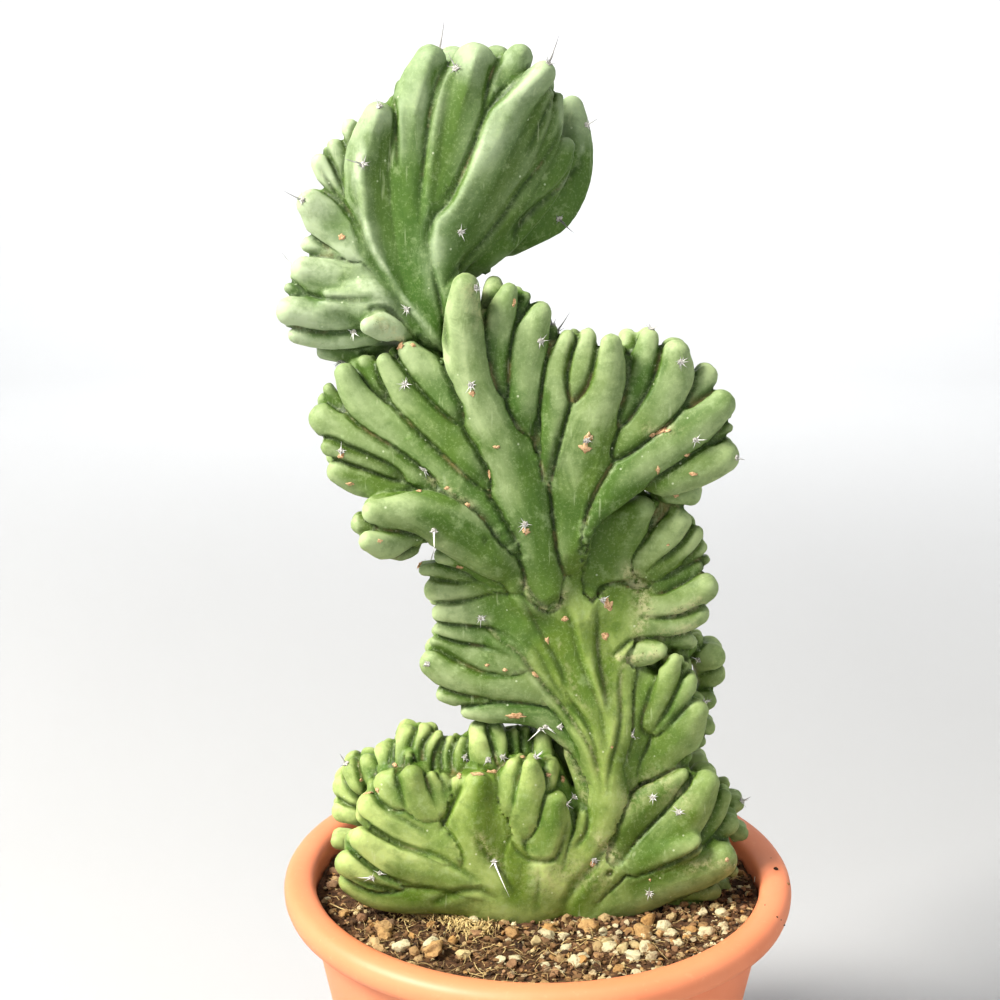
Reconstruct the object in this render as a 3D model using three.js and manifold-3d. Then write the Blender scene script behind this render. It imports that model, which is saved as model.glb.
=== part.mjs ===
// A crested bilberry cactus in a round plastic pot, as a three.js scene graph.
// Millimetres, +Z up. The origin is the middle of the pot's base, on the table.
// The plant grew as one piece: a short trunk carries fan-shaped combs, and each comb is a row of
// ribs that bend from the comb's root out to its crest, where the plant grows.
import * as THREE from 'three';
import { mergeVertices } from 'three/addons/utils/BufferGeometryUtils.js';
import Module from 'manifold-3d';

const wasm = await Module();
wasm.setup();

// Driving dimensions
const POT_HEIGHT = 150;
const POT_RIM_RADIUS = 100;
const POT_BASE_RADIUS = 63;
const POT_WALL = 2.4;
const POT_FLOOR = 3;
const LIP_DROP = 10;
const LIP_INNER_RADIUS = 87.2;
const POT_SIDES = 40;
const DRAIN_HOLE_RADIUS = 5;
const DRAIN_HOLE_CIRCLE = 42;
const DRAIN_HOLES = 6;
const SOIL_TOP = 139.5;
const SOIL_SIDES = 40;
const SOIL_RINGS = 10;
const SOIL_RELIEF = 1.2;
const STONE_RISE = 0.15;
const GAP = 0.3;
const WELD = 0.05;
const PLANT_CLEARANCE = 1.5;
const STUMP_HALF = [25, 13];
const STUMP_CENTRE = [4, -11];
const STUMP_BOTTOM = 96;
const STUMP_SIDES = 16;
const SPINE_THICKNESS = 0.75;
const SPINE_LENGTHS = [5, 7, 9];
const SPINE_ROOT = 1.5;
const SPINE_SPREAD = 0.5;
const AREOLE_STEP = 6;
const TIP_LENGTH = 0.85;
const TIP_WIDTH = 0.5;
const TIP_DEPTH = 0.75;

// The pot's outer wall is straight, from its base up to the underside of the lip.
const wallTopRadius = POT_RIM_RADIUS - 9.2;
const wallTopHeight = POT_HEIGHT - LIP_DROP;
const wallRadius = (z) =>
  POT_BASE_RADIUS + (wallTopRadius - POT_BASE_RADIUS) * z / wallTopHeight;

// Each rib is [x, y, z of its tip, radius at the tip, where along its path it starts, bow].
// The tip is that of the rib's front ridge, and a positive bow bends the rib to the left of the way
// that it grows, seen from the front. A comb's ribs share its root, or a root line of two points.
const COMBS = [
  {
    name: 'head',
    root: [[-37, -5, 354]],
    thickness: 25,
    ribs: [
      [-79, -15, 356, 4.0, 0.05, -3],
      [-89, -18, 363, 4.0, 0.10, -6],
      [-89, -19, 372, 4.6, 0.05, -7],
      [-85, -15, 385, 4.6, 0.05, -7],
      [-83, -11, 394, 3.0, 0.55, -7],
      [-80, -13, 407, 5.6, 0.15, -3],
      [-77, -7, 422, 3.8, 0.30, 1],
      [-70, -5, 430, 3.4, 0.45, 4],
      [-56, -16, 438, 5.6, 0.00, 13],
      [-47, -9, 443, 3.4, 0.45, 11],
      [-36, -14, 455, 5.2, 0.10, 9],
      [-24, -16, 456, 6.6, 0.10, 9],
      [-8, -14, 457, 5.2, 0.30, 8],
      [2, -12, 451, 5.8, 0.00, 11],
      [8, -4, 440, 4.2, 0.25, 6],
      [10, 1, 425, 4.8, 0.05, 4],
      [16, 15, 428, 6.0, 0.15, -4],
      [14, 20, 412, 6.0, 0.20, -6],
      [4, 20, 401, 5.0, 0.15, -5],
    ],
  },
  {
    name: 'main fan',
    root: [[7, -20, 264]],
    thickness: 25,
    ribs: [
      [-54, -33, 284, 4.0, 0.10, -11],
      [-63, -37, 292, 4.2, 0.10, -11],
      [-66, -38, 301, 4.8, 0.00, -10],
      [-73, -31, 310, 4.0, 0.15, -12],
      [-76, -25, 319, 3.8, 0.30, -11],
      [-78, -20, 328, 4.6, 0.10, -10],
      [-79, -15, 337, 4.4, 0.00, -8],
      [-75, -10, 343, 3.4, 0.45, -6],
      [-70, -7, 348, 4.4, 0.00, -5],
      [-62, -5, 351, 3.8, 0.35, -4],
      [-54, -6, 352, 4.4, 0.05, -2],
      [-44, -12, 352, 5.2, 0.20, -2],
      [-34, -12, 358, 6.5, 0.00, 3],
      [-25, -30, 377, 6.0, 0.00, 7],
      [-16, -13, 379, 3.6, 0.40, 4],
      [-10, -12, 376, 4.2, 0.15, 5],
      [-1, -14, 369, 4.8, 0.15, 8],
      [9, -11, 361, 4.2, 0.15, 6],
      [17, -8, 359, 4.2, 0.40, 6],
      [26, -15, 358, 5.0, 0.00, 4],
      [33, -6, 360, 3.8, 0.50, 5],
      [39, -4, 359, 4.0, 0.35, 6],
      [48, -6, 356, 5.2, 0.05, 6],
      [59, -5, 348, 4.6, 0.40, 9],
      [66, -10, 338, 5.4, 0.00, 10],
      [67, -10, 327, 4.2, 0.50, 11],
      [66, -14, 315, 5.2, 0.05, 12],
      [55, -8, 303, 4.4, 0.15, 9],
    ],
  },
  {
    name: 'left comb',
    root: [[3, -18, 262], [20, -18, 196]],
    thickness: 24,
    ribs: [
      [-40, -6, 279, 4.0, 0.10, -5],
      [-42, -8, 272, 3.8, 0.20, -6],
      [-41, -11, 265, 4.2, 0.10, -6],
      [-38, -16, 256, 5.0, 0.10, -6],
      [-41, -18, 247, 4.4, 0.10, -5],
      [-43, -20, 237, 5.0, 0.10, -6],
      [-39, -17, 227, 4.4, 0.15, -8],
      [-29, -12, 219, 4.6, 0.00, -10],
    ],
  },
  {
    name: 'right comb',
    root: [[26, -14, 272], [26, -14, 236]],
    thickness: 22,
    ribs: [
      [45, -10, 299, 6.0, 0.00, 2],
      [56, -2, 292, 4.2, 0.10, 2],
      [60, -3, 285, 4.0, 0.15, 1],
      [62, -4, 278, 3.6, 0.30, 1],
      [63, -9, 269, 4.6, 0.20, 3],
      [60, -12, 260, 4.4, 0.15, 3],
      [57, -12, 251, 4.4, 0.10, 2],
      [46, -12, 243, 4.2, 0.00, 0],
    ],
  },
  {
    name: 'shoulder',
    root: [[24, -20, 186]],
    thickness: 24,
    ribs: [
      [38, -20, 235, 5.6, 0.00, 1],
      [50, -17, 238, 4.2, 0.15, 1],
      [55, -15, 234, 3.6, 0.35, 2],
      [58, -14, 228, 4.2, 0.15, 3],
      [61, -16, 219, 4.8, 0.10, 2],
      [58, -14, 206, 4.6, 0.10, 2],
      [55, -13, 197, 4.0, 0.20, 1],
      [64, 2, 240, 4.4, 0.40, 3],
      [67, 5, 229, 5.0, 0.40, 3],
      [65, 4, 217, 4.4, 0.40, 2],
    ],
  },
  {
    name: 'right base comb',
    root: [[16, -22, 150]],
    thickness: 27,
    ribs: [
      [54, -18, 194, 4.6, 0.00, 5],
      [64, -15, 192, 5.8, 0.05, -3],
      [72, -5, 181, 4.8, 0.30, -3],
      [75, -4, 169, 4.8, 0.30, 2],
      [71, -20, 158, 6.4, 0.00, -1],
      [67, -14, 149, 4.4, 0.25, -2],
    ],
  },
  {
    name: 'left base comb',
    root: [[-3, -24, 150]],
    thickness: 15,
    ribs: [
      [-68, -28, 152, 6.6, 0.05, 1],
      [-70, -28, 166, 6.8, 0.00, 0],
      [-68, -22, 174, 5.0, 0.15, -1],
      [-66, -18, 183, 5.4, 0.15, -2],
      [-57, -22, 195, 5.4, 0.30, -1],
      [-47, -24, 198, 6.0, 0.30, -2],
      [-38, -23, 197, 4.0, 0.40, -2],
      [-32, -23, 195, 3.2, 0.40, -1],
      [-22, -30, 199, 7.6, 0.15, 3],
      [-11, -24, 203, 4.4, 0.25, 3],
      [-2, -25, 203, 5.2, 0.20, 1],
      [5, -22, 197, 5.0, 0.20, 0],
    ],
  },
  {
    name: 'left base comb, behind its crest',
    root: [[-16, -6, 152]],
    thickness: 18,
    ribs: [
      [-70, -8, 158, 5.4, 0.00, 0],
      [-74, -6, 172, 5.0, 0.00, -2],
      [-75, -4, 182, 5.0, 0.40, 0],
      [-70, -3, 192, 5.6, 0.00, 3],
      [-62, -2, 199, 4.8, 0.30, 3],
      [-55, -1, 204, 4.8, 0.10, 3],
      [-46, 0, 207, 5.2, 0.30, 3],
      [-37, 0, 206, 4.4, 0.10, 3],
      [-29, 0, 205, 4.4, 0.30, 2],
      [-21, -1, 208, 5.0, 0.00, 0],
      [-12, -2, 208, 4.4, 0.30, -3],
      [-3, -3, 207, 4.4, 0.10, -4],
      [6, -5, 204, 4.6, 0.00, -5],
    ],
  },
  {
    name: 'trunk',
    root: [[4, -20, 128]],
    thickness: 34,
    ribs: [
      [-18, -10, 166, 11, 0.00, 3],
      [20, -10, 176, 12, 0.00, -2],
      [12, -11, 284, 8.5, 0.00, -10],
      [25, -9, 286, 9.0, 0.00, -13],
      [33, -10, 250, 8.0, 0.30, -12],
      [0, -9, 264, 7.5, 0.45, -12],
    ],
  },
];

// The larger loose stones, as [x, y, radius]. Each lies half sunk in the top of the soil.
const STONES = [
  [-58, -39, 3.6],
  [-39, -54, 4.0],
  [-51, -52, 3.2],
  [-25, -30, 2.8],
  [-48, -22, 3.2],
  [3, -40, 3.0],
  [19, -36, 3.7],
  [25, -50, 3.0],
  [39, -39, 4.0],
  [49, -40, 2.9],
  [62, -39, 3.2],
  [39, -52, 3.3],
  [13, -62, 3.0],
  [71, -24, 2.6],
  [62, 27, 3.4],
  [35, 52, 3.9],
  [-6, 62, 3.1],
  [-40, 48, 4.0],
  [-67, 22, 3.2],
  [10, 34, 3.3],
];

// A seeded random number from 0 to 1, so that the model is the same each time.
function seededRandom(seed) {
  let state = seed;
  return () => {
    state = (state * 1664525 + 1013904223) % 4294967296;
    return state / 4294967296;
  };
}

function toSolid(geometry) {
  const bare = geometry.clone();
  bare.deleteAttribute('normal');
  bare.deleteAttribute('uv');
  const merged = mergeVertices(bare, 1e-4);
  const corners = merged.index.array;
  const faces = [];
  for (let k = 0; k < corners.length; k += 3) {
    const [a, b, c] = corners.slice(k, k + 3);
    // A lathe or a dodecahedron can hold faces with no area.
    if (a !== b && b !== c && c !== a) {
      faces.push(a, b, c);
    }
  }
  return new wasm.Manifold(new wasm.Mesh({
    numProp: 3,
    vertProperties: new Float32Array(merged.attributes.position.array),
    triVerts: new Uint32Array(faces),
    tolerance: WELD,
  }));
}

function toGeometry(solid) {
  const mesh = solid.getMesh();
  const geometry = new THREE.BufferGeometry();
  geometry.setAttribute('position', new THREE.BufferAttribute(new Float32Array(mesh.vertProperties), 3));
  geometry.setIndex(new THREE.BufferAttribute(new Uint32Array(mesh.triVerts), 1));
  geometry.computeVertexNormals();
  return geometry;
}

// A closed body lofted through rings of points, all with the same number of points.
function loft(rings) {
  const sides = rings[0].length;
  const positions = rings.flat().flatMap((p) => [p.x, p.y, p.z]);
  const indices = [];
  for (let ring = 0; ring + 1 < rings.length; ring += 1) {
    for (let side = 0; side < sides; side += 1) {
      const a = ring * sides + side;
      const b = ring * sides + (side + 1) % sides;
      indices.push(a, b, b + sides, a, b + sides, a + sides);
    }
  }
  const last = (rings.length - 1) * sides;
  for (let side = 1; side + 1 < sides; side += 1) {
    indices.push(0, side + 1, side);
    indices.push(last, last + side, last + side + 1);
  }
  const geometry = new THREE.BufferGeometry();
  geometry.setAttribute('position', new THREE.Float32BufferAttribute(positions, 3));
  geometry.setIndex(indices);
  return geometry;
}

// The path of a rib's front ridge: a curve from the comb's root, through its bow, to its tip.
function ribPath(comb, index) {
  const [x, y, z, , , bow] = comb.ribs[index];
  const tip = new THREE.Vector3(x, y, z);
  const first = new THREE.Vector3(...comb.root[0]);
  const last = new THREE.Vector3(...comb.root.at(-1));
  const root = first.lerp(last, index / (comb.ribs.length - 1));
  const chord = tip.clone().sub(root);
  const left = new THREE.Vector3(-chord.z, 0, chord.x).normalize();
  const control = root.clone().add(tip).multiplyScalar(0.5).addScaledVector(left, 2 * bow);
  return new THREE.QuadraticBezierCurve3(root, control, tip);
}

// How wide a rib is along its path: it widens from the root towards the tip.
const ribRadius = (radius, t) => radius * (0.45 + 0.55 * Math.pow(t, 0.8));

// A rib runs through the comb, with a ridge on the front and on the back. Its flanks reach into
// its neighbours halfway through the comb, which leaves no gap between two ribs.
const RIB_SECTION = [[-1, 0], [-0.6, -1], [0.6, -1], [1, 0], [0.6, 1], [-0.6, 1]];
const FLANK_REACH = 1.7;
const STRAIGHT_BOW = 2;

function ribGeometry(comb, index) {
  const [, , , radius, start, bow] = comb.ribs[index];
  const path = ribPath(comb, index);
  const depth = Math.max(comb.thickness - 2 * radius, 1);
  const steps = Math.abs(bow) > STRAIGHT_BOW ? [0, 0.55, 1] : [0, 1];
  const stations = steps.map((step) => start + (1 - start) * step);
  const ring = (centre, direction, r, flank, depthShare) => {
    const across = new THREE.Vector3(direction.z, 0, -direction.x).normalize();
    const halfDepth = (depth / 2 + r) * depthShare;
    const middle = centre.y + depth / 2;
    return RIB_SECTION.map(([side, front]) => {
      const width = side * r * (front === 0 ? flank : 1);
      return new THREE.Vector3(
        centre.x + across.x * width,
        middle + front * halfDepth,
        centre.z + across.z * width,
      );
    });
  };
  const rings = stations.map((t) => ring(
    path.getPoint(t), path.getTangent(t), ribRadius(radius, t), t < 1 ? FLANK_REACH : 1, 1,
  ));
  const outward = path.getTangent(1);
  const tip = path.getPoint(1).addScaledVector(outward, TIP_LENGTH * radius);
  rings.push(ring(tip, outward, TIP_WIDTH * radius, 1, TIP_DEPTH));
  return loft(rings);
}

function spineGeometry(root, direction, length) {
  const side = new THREE.Vector3(direction.z, direction.x, direction.y).cross(direction).normalize();
  const up = side.clone().cross(direction);
  const foot = root.clone().addScaledVector(direction, -SPINE_ROOT);
  const corner = (centre, radius, turn) => centre.clone()
    .addScaledVector(side, radius * Math.cos(turn))
    .addScaledVector(up, radius * Math.sin(turn));
  const tip = root.clone().addScaledVector(direction, length);
  const corners = [0, 1, 2].map((k) => corner(foot, SPINE_THICKNESS / 2, -k * 2 * Math.PI / 3));
  const geometry = new THREE.BufferGeometry();
  const positions = [...corners, tip].flatMap((p) => [p.x, p.y, p.z]);
  geometry.setAttribute('position', new THREE.Float32BufferAttribute(positions, 3));
  geometry.setIndex([0, 2, 1, 0, 1, 3, 1, 2, 3, 2, 0, 3]);
  return geometry;
}

// The stump is the part of the plant that is buried: a plain oval peg in a plain hole.
function ovalRing(halfX, halfY, z, sides) {
  return Array.from({ length: sides }, (_, k) => {
    const turn = k * 2 * Math.PI / sides;
    return new THREE.Vector3(
      STUMP_CENTRE[0] + halfX * Math.cos(turn),
      STUMP_CENTRE[1] + halfY * Math.sin(turn),
      z,
    );
  });
}

function stumpGeometry(grow, top) {
  const [halfX, halfY] = STUMP_HALF;
  return loft([
    ovalRing(0.55 * halfX + grow, 0.55 * halfY + grow, STUMP_BOTTOM - grow, STUMP_SIDES),
    ovalRing(0.85 * halfX + grow, 0.85 * halfY + grow, STUMP_BOTTOM + 12, STUMP_SIDES),
    ovalRing(halfX + grow, halfY + grow, SOIL_TOP - 6, STUMP_SIDES),
    ovalRing(halfX + grow, halfY + grow, top, STUMP_SIDES),
  ]);
}

// An areole is a small cushion on a rib that bears spines. Of every six ribs, one has an areole at
// its tip, one on its front ridge and one on its back ridge.
const TIP_AREOLE = 0;
const FRONT_AREOLE = 2;
const BACK_AREOLE = 3;
const FRONT_PLACE = 0.72;
const BACK_PLACE = 0.8;

function areoles() {
  const places = [];
  const forward = new THREE.Vector3(0, -1, 0);
  let count = 0;
  for (const comb of COMBS.filter((each) => each.name !== 'trunk')) {
    comb.ribs.forEach(([, , , radius], index) => {
      const path = ribPath(comb, index);
      const outward = path.getTangent(1);
      const depth = Math.max(comb.thickness - 2 * radius, 1);
      const place = count % AREOLE_STEP;
      count += 1;
      if (place === TIP_AREOLE) {
        const root = path.getPoint(1).addScaledVector(outward, TIP_LENGTH * radius);
        root.y += depth / 2;
        places.push({ root, direction: outward.clone() });
      }
      if (place === FRONT_AREOLE) {
        const root = path.getPoint(FRONT_PLACE);
        root.addScaledVector(forward, ribRadius(radius, FRONT_PLACE));
        places.push({ root, direction: forward.clone() });
      }
      if (place === BACK_AREOLE) {
        const root = path.getPoint(BACK_PLACE);
        root.y += depth + ribRadius(radius, BACK_PLACE);
        places.push({ root, direction: forward.clone().negate() });
      }
    });
  }
  return places;
}

function makeCactus() {
  const random = seededRandom(7);
  let solid = toSolid(ribGeometry(COMBS[0], 0));
  const add = (geometry) => {
    solid = solid.add(toSolid(geometry));
  };
  for (const comb of COMBS) {
    comb.ribs.forEach((rib, index) => add(ribGeometry(comb, index)));
  }
  const groundSize = 4 * POT_RIM_RADIUS;
  const ground = new THREE.BoxGeometry(groundSize, groundSize, groundSize);
  ground.translate(0, 0, SOIL_TOP + PLANT_CLEARANCE - groundSize / 2);
  solid = solid.subtract(toSolid(ground));
  add(stumpGeometry(0, SOIL_TOP + 12));
  for (const { root, direction } of areoles()) {
    const side = new THREE.Vector3(direction.z, direction.x, direction.y).cross(direction).normalize();
    SPINE_LENGTHS.forEach((length, index) => {
      const turn = (index + random()) * 2 * Math.PI / SPINE_LENGTHS.length;
      const lean = side.clone().applyAxisAngle(direction, turn);
      const foot = root.clone().addScaledVector(lean, SPINE_THICKNESS);
      add(spineGeometry(foot, direction.clone().addScaledVector(lean, SPINE_SPREAD).normalize(), length));
    });
  }
  // Pockets that the ribs enclose are flesh, so only the outer skin is kept.
  return solid.decompose().reduce((best, body) => (body.volume() > best.volume() ? body : best));
}

// The pot is one turned skin: a straight wall, a floor, and a wide lip that turns down outside.
function makePot() {
  const outer = [
    [POT_BASE_RADIUS - 1, 0],
    [POT_BASE_RADIUS, 1],
    [wallTopRadius, wallTopHeight],
    [91.8, POT_HEIGHT - 4],
    [96.8, POT_HEIGHT - 3.6],
    [97, wallTopHeight],
    [99.2, wallTopHeight + 0.6],
    [POT_RIM_RADIUS, POT_HEIGHT - 4.4],
    [98.8, POT_HEIGHT - 1.2],
    [95.6, POT_HEIGHT],
    [91.2, POT_HEIGHT],
    [88.2, POT_HEIGHT - 1.2],
  ];
  const inner = [
    [LIP_INNER_RADIUS, POT_HEIGHT - 3.4],
    [wallRadius(wallTopHeight) - POT_WALL, wallTopHeight],
    [wallRadius(POT_FLOOR) - POT_WALL, POT_FLOOR],
  ];
  const profile = [[0, 0], ...outer, ...inner, [0, POT_FLOOR]].map(([r, z]) => new THREE.Vector2(r, z));
  const body = new THREE.LatheGeometry(profile, POT_SIDES);
  body.rotateX(Math.PI / 2);
  let pot = toSolid(body);
  for (let hole = 0; hole < DRAIN_HOLES; hole += 1) {
    const turn = hole * 2 * Math.PI / DRAIN_HOLES;
    const drill = new THREE.CylinderGeometry(DRAIN_HOLE_RADIUS, DRAIN_HOLE_RADIUS, 4 * POT_FLOOR, 12);
    drill.rotateX(Math.PI / 2);
    drill.translate(DRAIN_HOLE_CIRCLE * Math.cos(turn), DRAIN_HOLE_CIRCLE * Math.sin(turn), 0);
    pot = pot.subtract(toSolid(drill));
  }
  return pot;
}

// The top of the soil is a little uneven, with grit in it.
function soilHeight(x, y, random) {
  const swell = Math.sin(x / 13 + 1) * Math.cos(y / 11) * 0.4;
  return SOIL_TOP + swell + (random() - 0.5) * SOIL_RELIEF;
}

// A stone has the faces of a dodecahedron, stretched and turned. Grown, it cuts its own seat.
function stoneGeometry([x, y, radius], index, grow) {
  const random = seededRandom(100 + index);
  const stone = new THREE.DodecahedronGeometry(radius, 0);
  const scale = [0.85 + 0.3 * random(), 0.8 + 0.25 * random(), 0.6 + 0.15 * random()];
  const turn = random() * Math.PI;
  const enlarge = 1 + grow / (0.5 * radius);
  stone.rotateX(turn);
  stone.rotateZ(3 * turn);
  stone.scale(...scale.map((factor) => factor * enlarge));
  stone.translate(x, y, SOIL_TOP + STONE_RISE * radius);
  return stone;
}

function makeSoil() {
  const random = seededRandom(21);
  const circle = (radius, height) => Array.from({ length: SOIL_SIDES }, (_, k) => {
    const turn = k * 2 * Math.PI / SOIL_SIDES;
    const x = radius * Math.cos(turn);
    const y = radius * Math.sin(turn);
    return new THREE.Vector3(x, y, height(x, y));
  });
  const innerWall = (z) => wallRadius(z) - POT_WALL - GAP;
  const bottom = POT_FLOOR + GAP;
  const edge = innerWall(SOIL_TOP) * Math.cos(Math.PI / POT_SIDES);
  const rings = [
    circle(1, () => bottom),
    circle(innerWall(bottom) * Math.cos(Math.PI / POT_SIDES), () => bottom),
    circle(edge, () => SOIL_TOP),
  ];
  for (let ring = SOIL_RINGS; ring > 0; ring -= 1) {
    const radius = edge * (ring - 0.4) / SOIL_RINGS;
    rings.push(circle(radius, (x, y) => soilHeight(x, y, random)));
  }
  let soil = toSolid(loft(rings));
  soil = soil.subtract(toSolid(stumpGeometry(GAP, SOIL_TOP + 20)));
  STONES.forEach((stone, index) => {
    soil = soil.subtract(toSolid(stoneGeometry(stone, index, GAP)));
  });
  return soil;
}

const plant = new THREE.MeshStandardMaterial({ color: 0x7f9d58, roughness: 0.6, metalness: 0 });
const terracotta = new THREE.MeshStandardMaterial({ color: 0xe8925f, roughness: 0.45, metalness: 0 });
const peat = new THREE.MeshStandardMaterial({ color: 0x3a2a1c, roughness: 1, metalness: 0 });
const pumice = new THREE.MeshStandardMaterial({ color: 0xdcc890, roughness: 0.95, metalness: 0 });

const group = new THREE.Group();
function place(name, geometry, material) {
  const mesh = new THREE.Mesh(geometry, material);
  mesh.name = name;
  group.add(mesh);
}

place('pot', toGeometry(makePot()), terracotta);
place('soil', toGeometry(makeSoil()), peat);
place('cactus', toGeometry(makeCactus()), plant);
STONES.forEach((stone, index) => {
  const name = `pumice_${String(index + 1).padStart(2, '0')}`;
  place(name, toGeometry(toSolid(stoneGeometry(stone, index, 0))), pumice);
});
export default group;
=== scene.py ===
# %% [markdown]
# # A crested bilberry cactus in a plastic pot
#
# A crested cactus doesn't grow from one point at the top of each rib: its growing point has
# spread into a line, the crest. So it makes fans, or combs, of ribs instead of a column. This
# lesson grows such a plant rib by rib, joins it into one skin, and pots it in gritty peat.
#
# The sizes and the place of each piece come from a fixed frame, a plain model of the same
# object. Everything here is in metres, in that frame, with the pot's base on the floor at zero.

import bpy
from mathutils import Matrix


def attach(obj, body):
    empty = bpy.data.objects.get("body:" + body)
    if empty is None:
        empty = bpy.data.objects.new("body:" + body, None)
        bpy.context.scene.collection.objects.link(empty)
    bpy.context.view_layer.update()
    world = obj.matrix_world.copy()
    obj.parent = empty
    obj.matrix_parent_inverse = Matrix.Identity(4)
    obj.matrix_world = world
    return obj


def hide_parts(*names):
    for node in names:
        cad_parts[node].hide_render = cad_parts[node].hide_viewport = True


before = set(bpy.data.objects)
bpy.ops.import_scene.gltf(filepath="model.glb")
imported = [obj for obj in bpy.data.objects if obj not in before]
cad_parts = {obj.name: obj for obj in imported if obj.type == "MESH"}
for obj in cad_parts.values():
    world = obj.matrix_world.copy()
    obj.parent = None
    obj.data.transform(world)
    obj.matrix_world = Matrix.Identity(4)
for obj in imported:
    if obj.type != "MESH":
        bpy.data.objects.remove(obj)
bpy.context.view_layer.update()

# %% Modules, the millimetre and a seeded random
import math
import random

import bpy
import numpy as np
from mathutils import Matrix, Vector, noise
from mathutils.bvhtree import BVHTree

MM = 0.001
dice = random.Random(11)

# %% [markdown]
# ## Small helpers
#
# An operator acts on all that is selected, so each one starts from a clean selection. The
# plant's skin is shaped by arithmetic on all its points at once, so a few helpers read a mesh
# into rows of numbers and write them back, and one builds a mesh out of many small parts.


# %% Helpers for objects
def choose(*objects):
    bpy.ops.object.select_all(action="DESELECT")
    for each in objects:
        each.select_set(True)
    bpy.context.view_layer.objects.active = objects[0]


def named(name):
    piece = bpy.context.object
    piece.name = name
    piece.data.name = name
    return piece


def joined(pieces, name):
    choose(*pieces)
    bpy.ops.object.join()
    return named(name)


def apply_modifier(piece, kind, **settings):
    choose(piece)
    modifier = piece.modifiers.new(kind.title(), kind)
    for key, value in settings.items():
        setattr(modifier, key, value)
    bpy.ops.object.modifier_apply(modifier=modifier.name)


def triangles(piece):
    return sum(len(face.vertices) - 2 for face in piece.data.polygons)


# %% Helpers for meshes as rows of numbers
def rows_of(elements, key, width, kind=float):
    flat = np.empty(width * len(elements), dtype=kind)
    elements.foreach_get(key, flat)
    return flat.reshape(-1, width)


def points_of(piece):
    return rows_of(piece.data.vertices, "co", 3)


def normals_of(piece):
    return rows_of(piece.data.vertices, "normal", 3)


def faces_of(piece):
    return [list(face.vertices) for face in piece.data.polygons]


def taken_apart(piece):
    """The points and faces of a piece that is only a pattern for others, and is removed."""
    points, faces = points_of(piece), faces_of(piece)
    bpy.data.objects.remove(piece)
    return points, faces


def move_points(piece, points):
    piece.data.vertices.foreach_set("co", np.ascontiguousarray(points).ravel())
    piece.data.update()


def paint(piece, name, values):
    layer = piece.data.attributes.new(name, "FLOAT", "POINT")
    layer.data.foreach_set("value", np.ascontiguousarray(values, dtype=np.float32))


def made_of(name, parts):
    """One object out of many (points, faces, tone) parts, all in metres."""
    vertices, faces, tones = [], [], []
    for points, part_faces, tone in parts:
        first = len(vertices)
        vertices.extend(points.tolist())
        faces.extend([[first + k for k in face] for face in part_faces])
        tones.extend([tone] * len(points))
    mesh = bpy.data.meshes.new(name)
    mesh.from_pydata(vertices, [], faces)
    piece = bpy.data.objects.new(name, mesh)
    bpy.context.collection.objects.link(piece)
    paint(piece, "tone", np.array(tones))
    return piece


# %% [markdown]
# ## Colours and nodes
#
# Colours are written as sRGB hex values, the way a picture editor shows them, and Blender's
# shaders work in linear light, so one function turns them over. `add_node` adds any node with its
# settings and links. A finish is built up as a painter does it, in thin layers: each layer lies
# where its driver, a noise or a number that the mesh carries, is past a value.

# %% Helpers for colours and nodes
SHARE, BELOW, ABOVE, MIXED = 0, 6, 7, 2  # the sockets of a Mix node that mixes colours


def linear(hex_colour):
    channels = [int(hex_colour[k:k + 2], 16) / 255 for k in (1, 3, 5)]
    curve = [c / 12.92 if c <= 0.04045 else ((c + 0.055) / 1.055) ** 2.4 for c in channels]
    return (*curve, 1.0)


def set_inputs(material, node, inputs):
    """Each input is a value, a hex colour or another node's output."""
    for key, value in inputs.items():
        if isinstance(value, bpy.types.NodeSocket):
            material.node_tree.links.new(value, node.inputs[key])
        else:
            node.inputs[key].default_value = linear(value) if isinstance(value, str) else value


def add_node(material, kind, inputs, output=0, **settings):
    node = material.node_tree.nodes.new("ShaderNode" + kind)
    for key, value in settings.items():
        setattr(node, key, value)
    set_inputs(material, node, inputs)
    return node.outputs[output]


def new_material(name):
    material = bpy.data.materials.new(name)
    material.use_nodes = True
    return material, material.node_tree.nodes["Principled BSDF"]


def layered(material, colour, layers):
    """Lays colours over a colour. A layer: (driver, its start, where it is full, density, its colour)."""
    for driver, start, full, density, layer_colour in layers:
        share = add_node(material, "MapRange",
                         {"Value": driver, "From Min": start, "From Max": full, "To Max": density})
        colour = add_node(material, "Mix", {SHARE: share, BELOW: colour, ABOVE: layer_colour}, MIXED,
                          data_type="RGBA")
    return colour


# %% [markdown]
# ## The camera
#
# The view is level with the middle of the plant's head and looks down a little into the pot. A
# 54 mm lens on a 36 mm sensor gives the gentle perspective of a close product picture. The
# same numbers give the line of sight through any pixel of the 1000 by 1000 picture, which later
# finds where an areole sits on the skin.

# %% Camera
PICTURE = 1000
LENS_MM = 54.0
SENSOR_MM = 36.0
CAMERA_PLACE = Vector((-14.7, -552.4, 421.6)) * MM
CAMERA_PITCH = math.radians(12.65)

bpy.ops.object.camera_add(location=CAMERA_PLACE, rotation=(math.pi / 2 - CAMERA_PITCH, 0, 0))
camera = bpy.context.object
camera.data.lens = LENS_MM
camera.data.sensor_width = SENSOR_MM
camera.data.clip_start = 0.02
camera.data.clip_end = 50
bpy.context.scene.camera = camera
bpy.context.view_layer.update()
camera_turn = camera.matrix_world.to_3x3()


def sight(px, py):
    half = PICTURE / 2
    focal = PICTURE * LENS_MM / SENSOR_MM
    return (camera_turn @ Vector(((px - half) / focal, (half - py) / focal, -1.0))).normalized()


print("camera at", tuple(round(v, 3) for v in CAMERA_PLACE))

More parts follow.
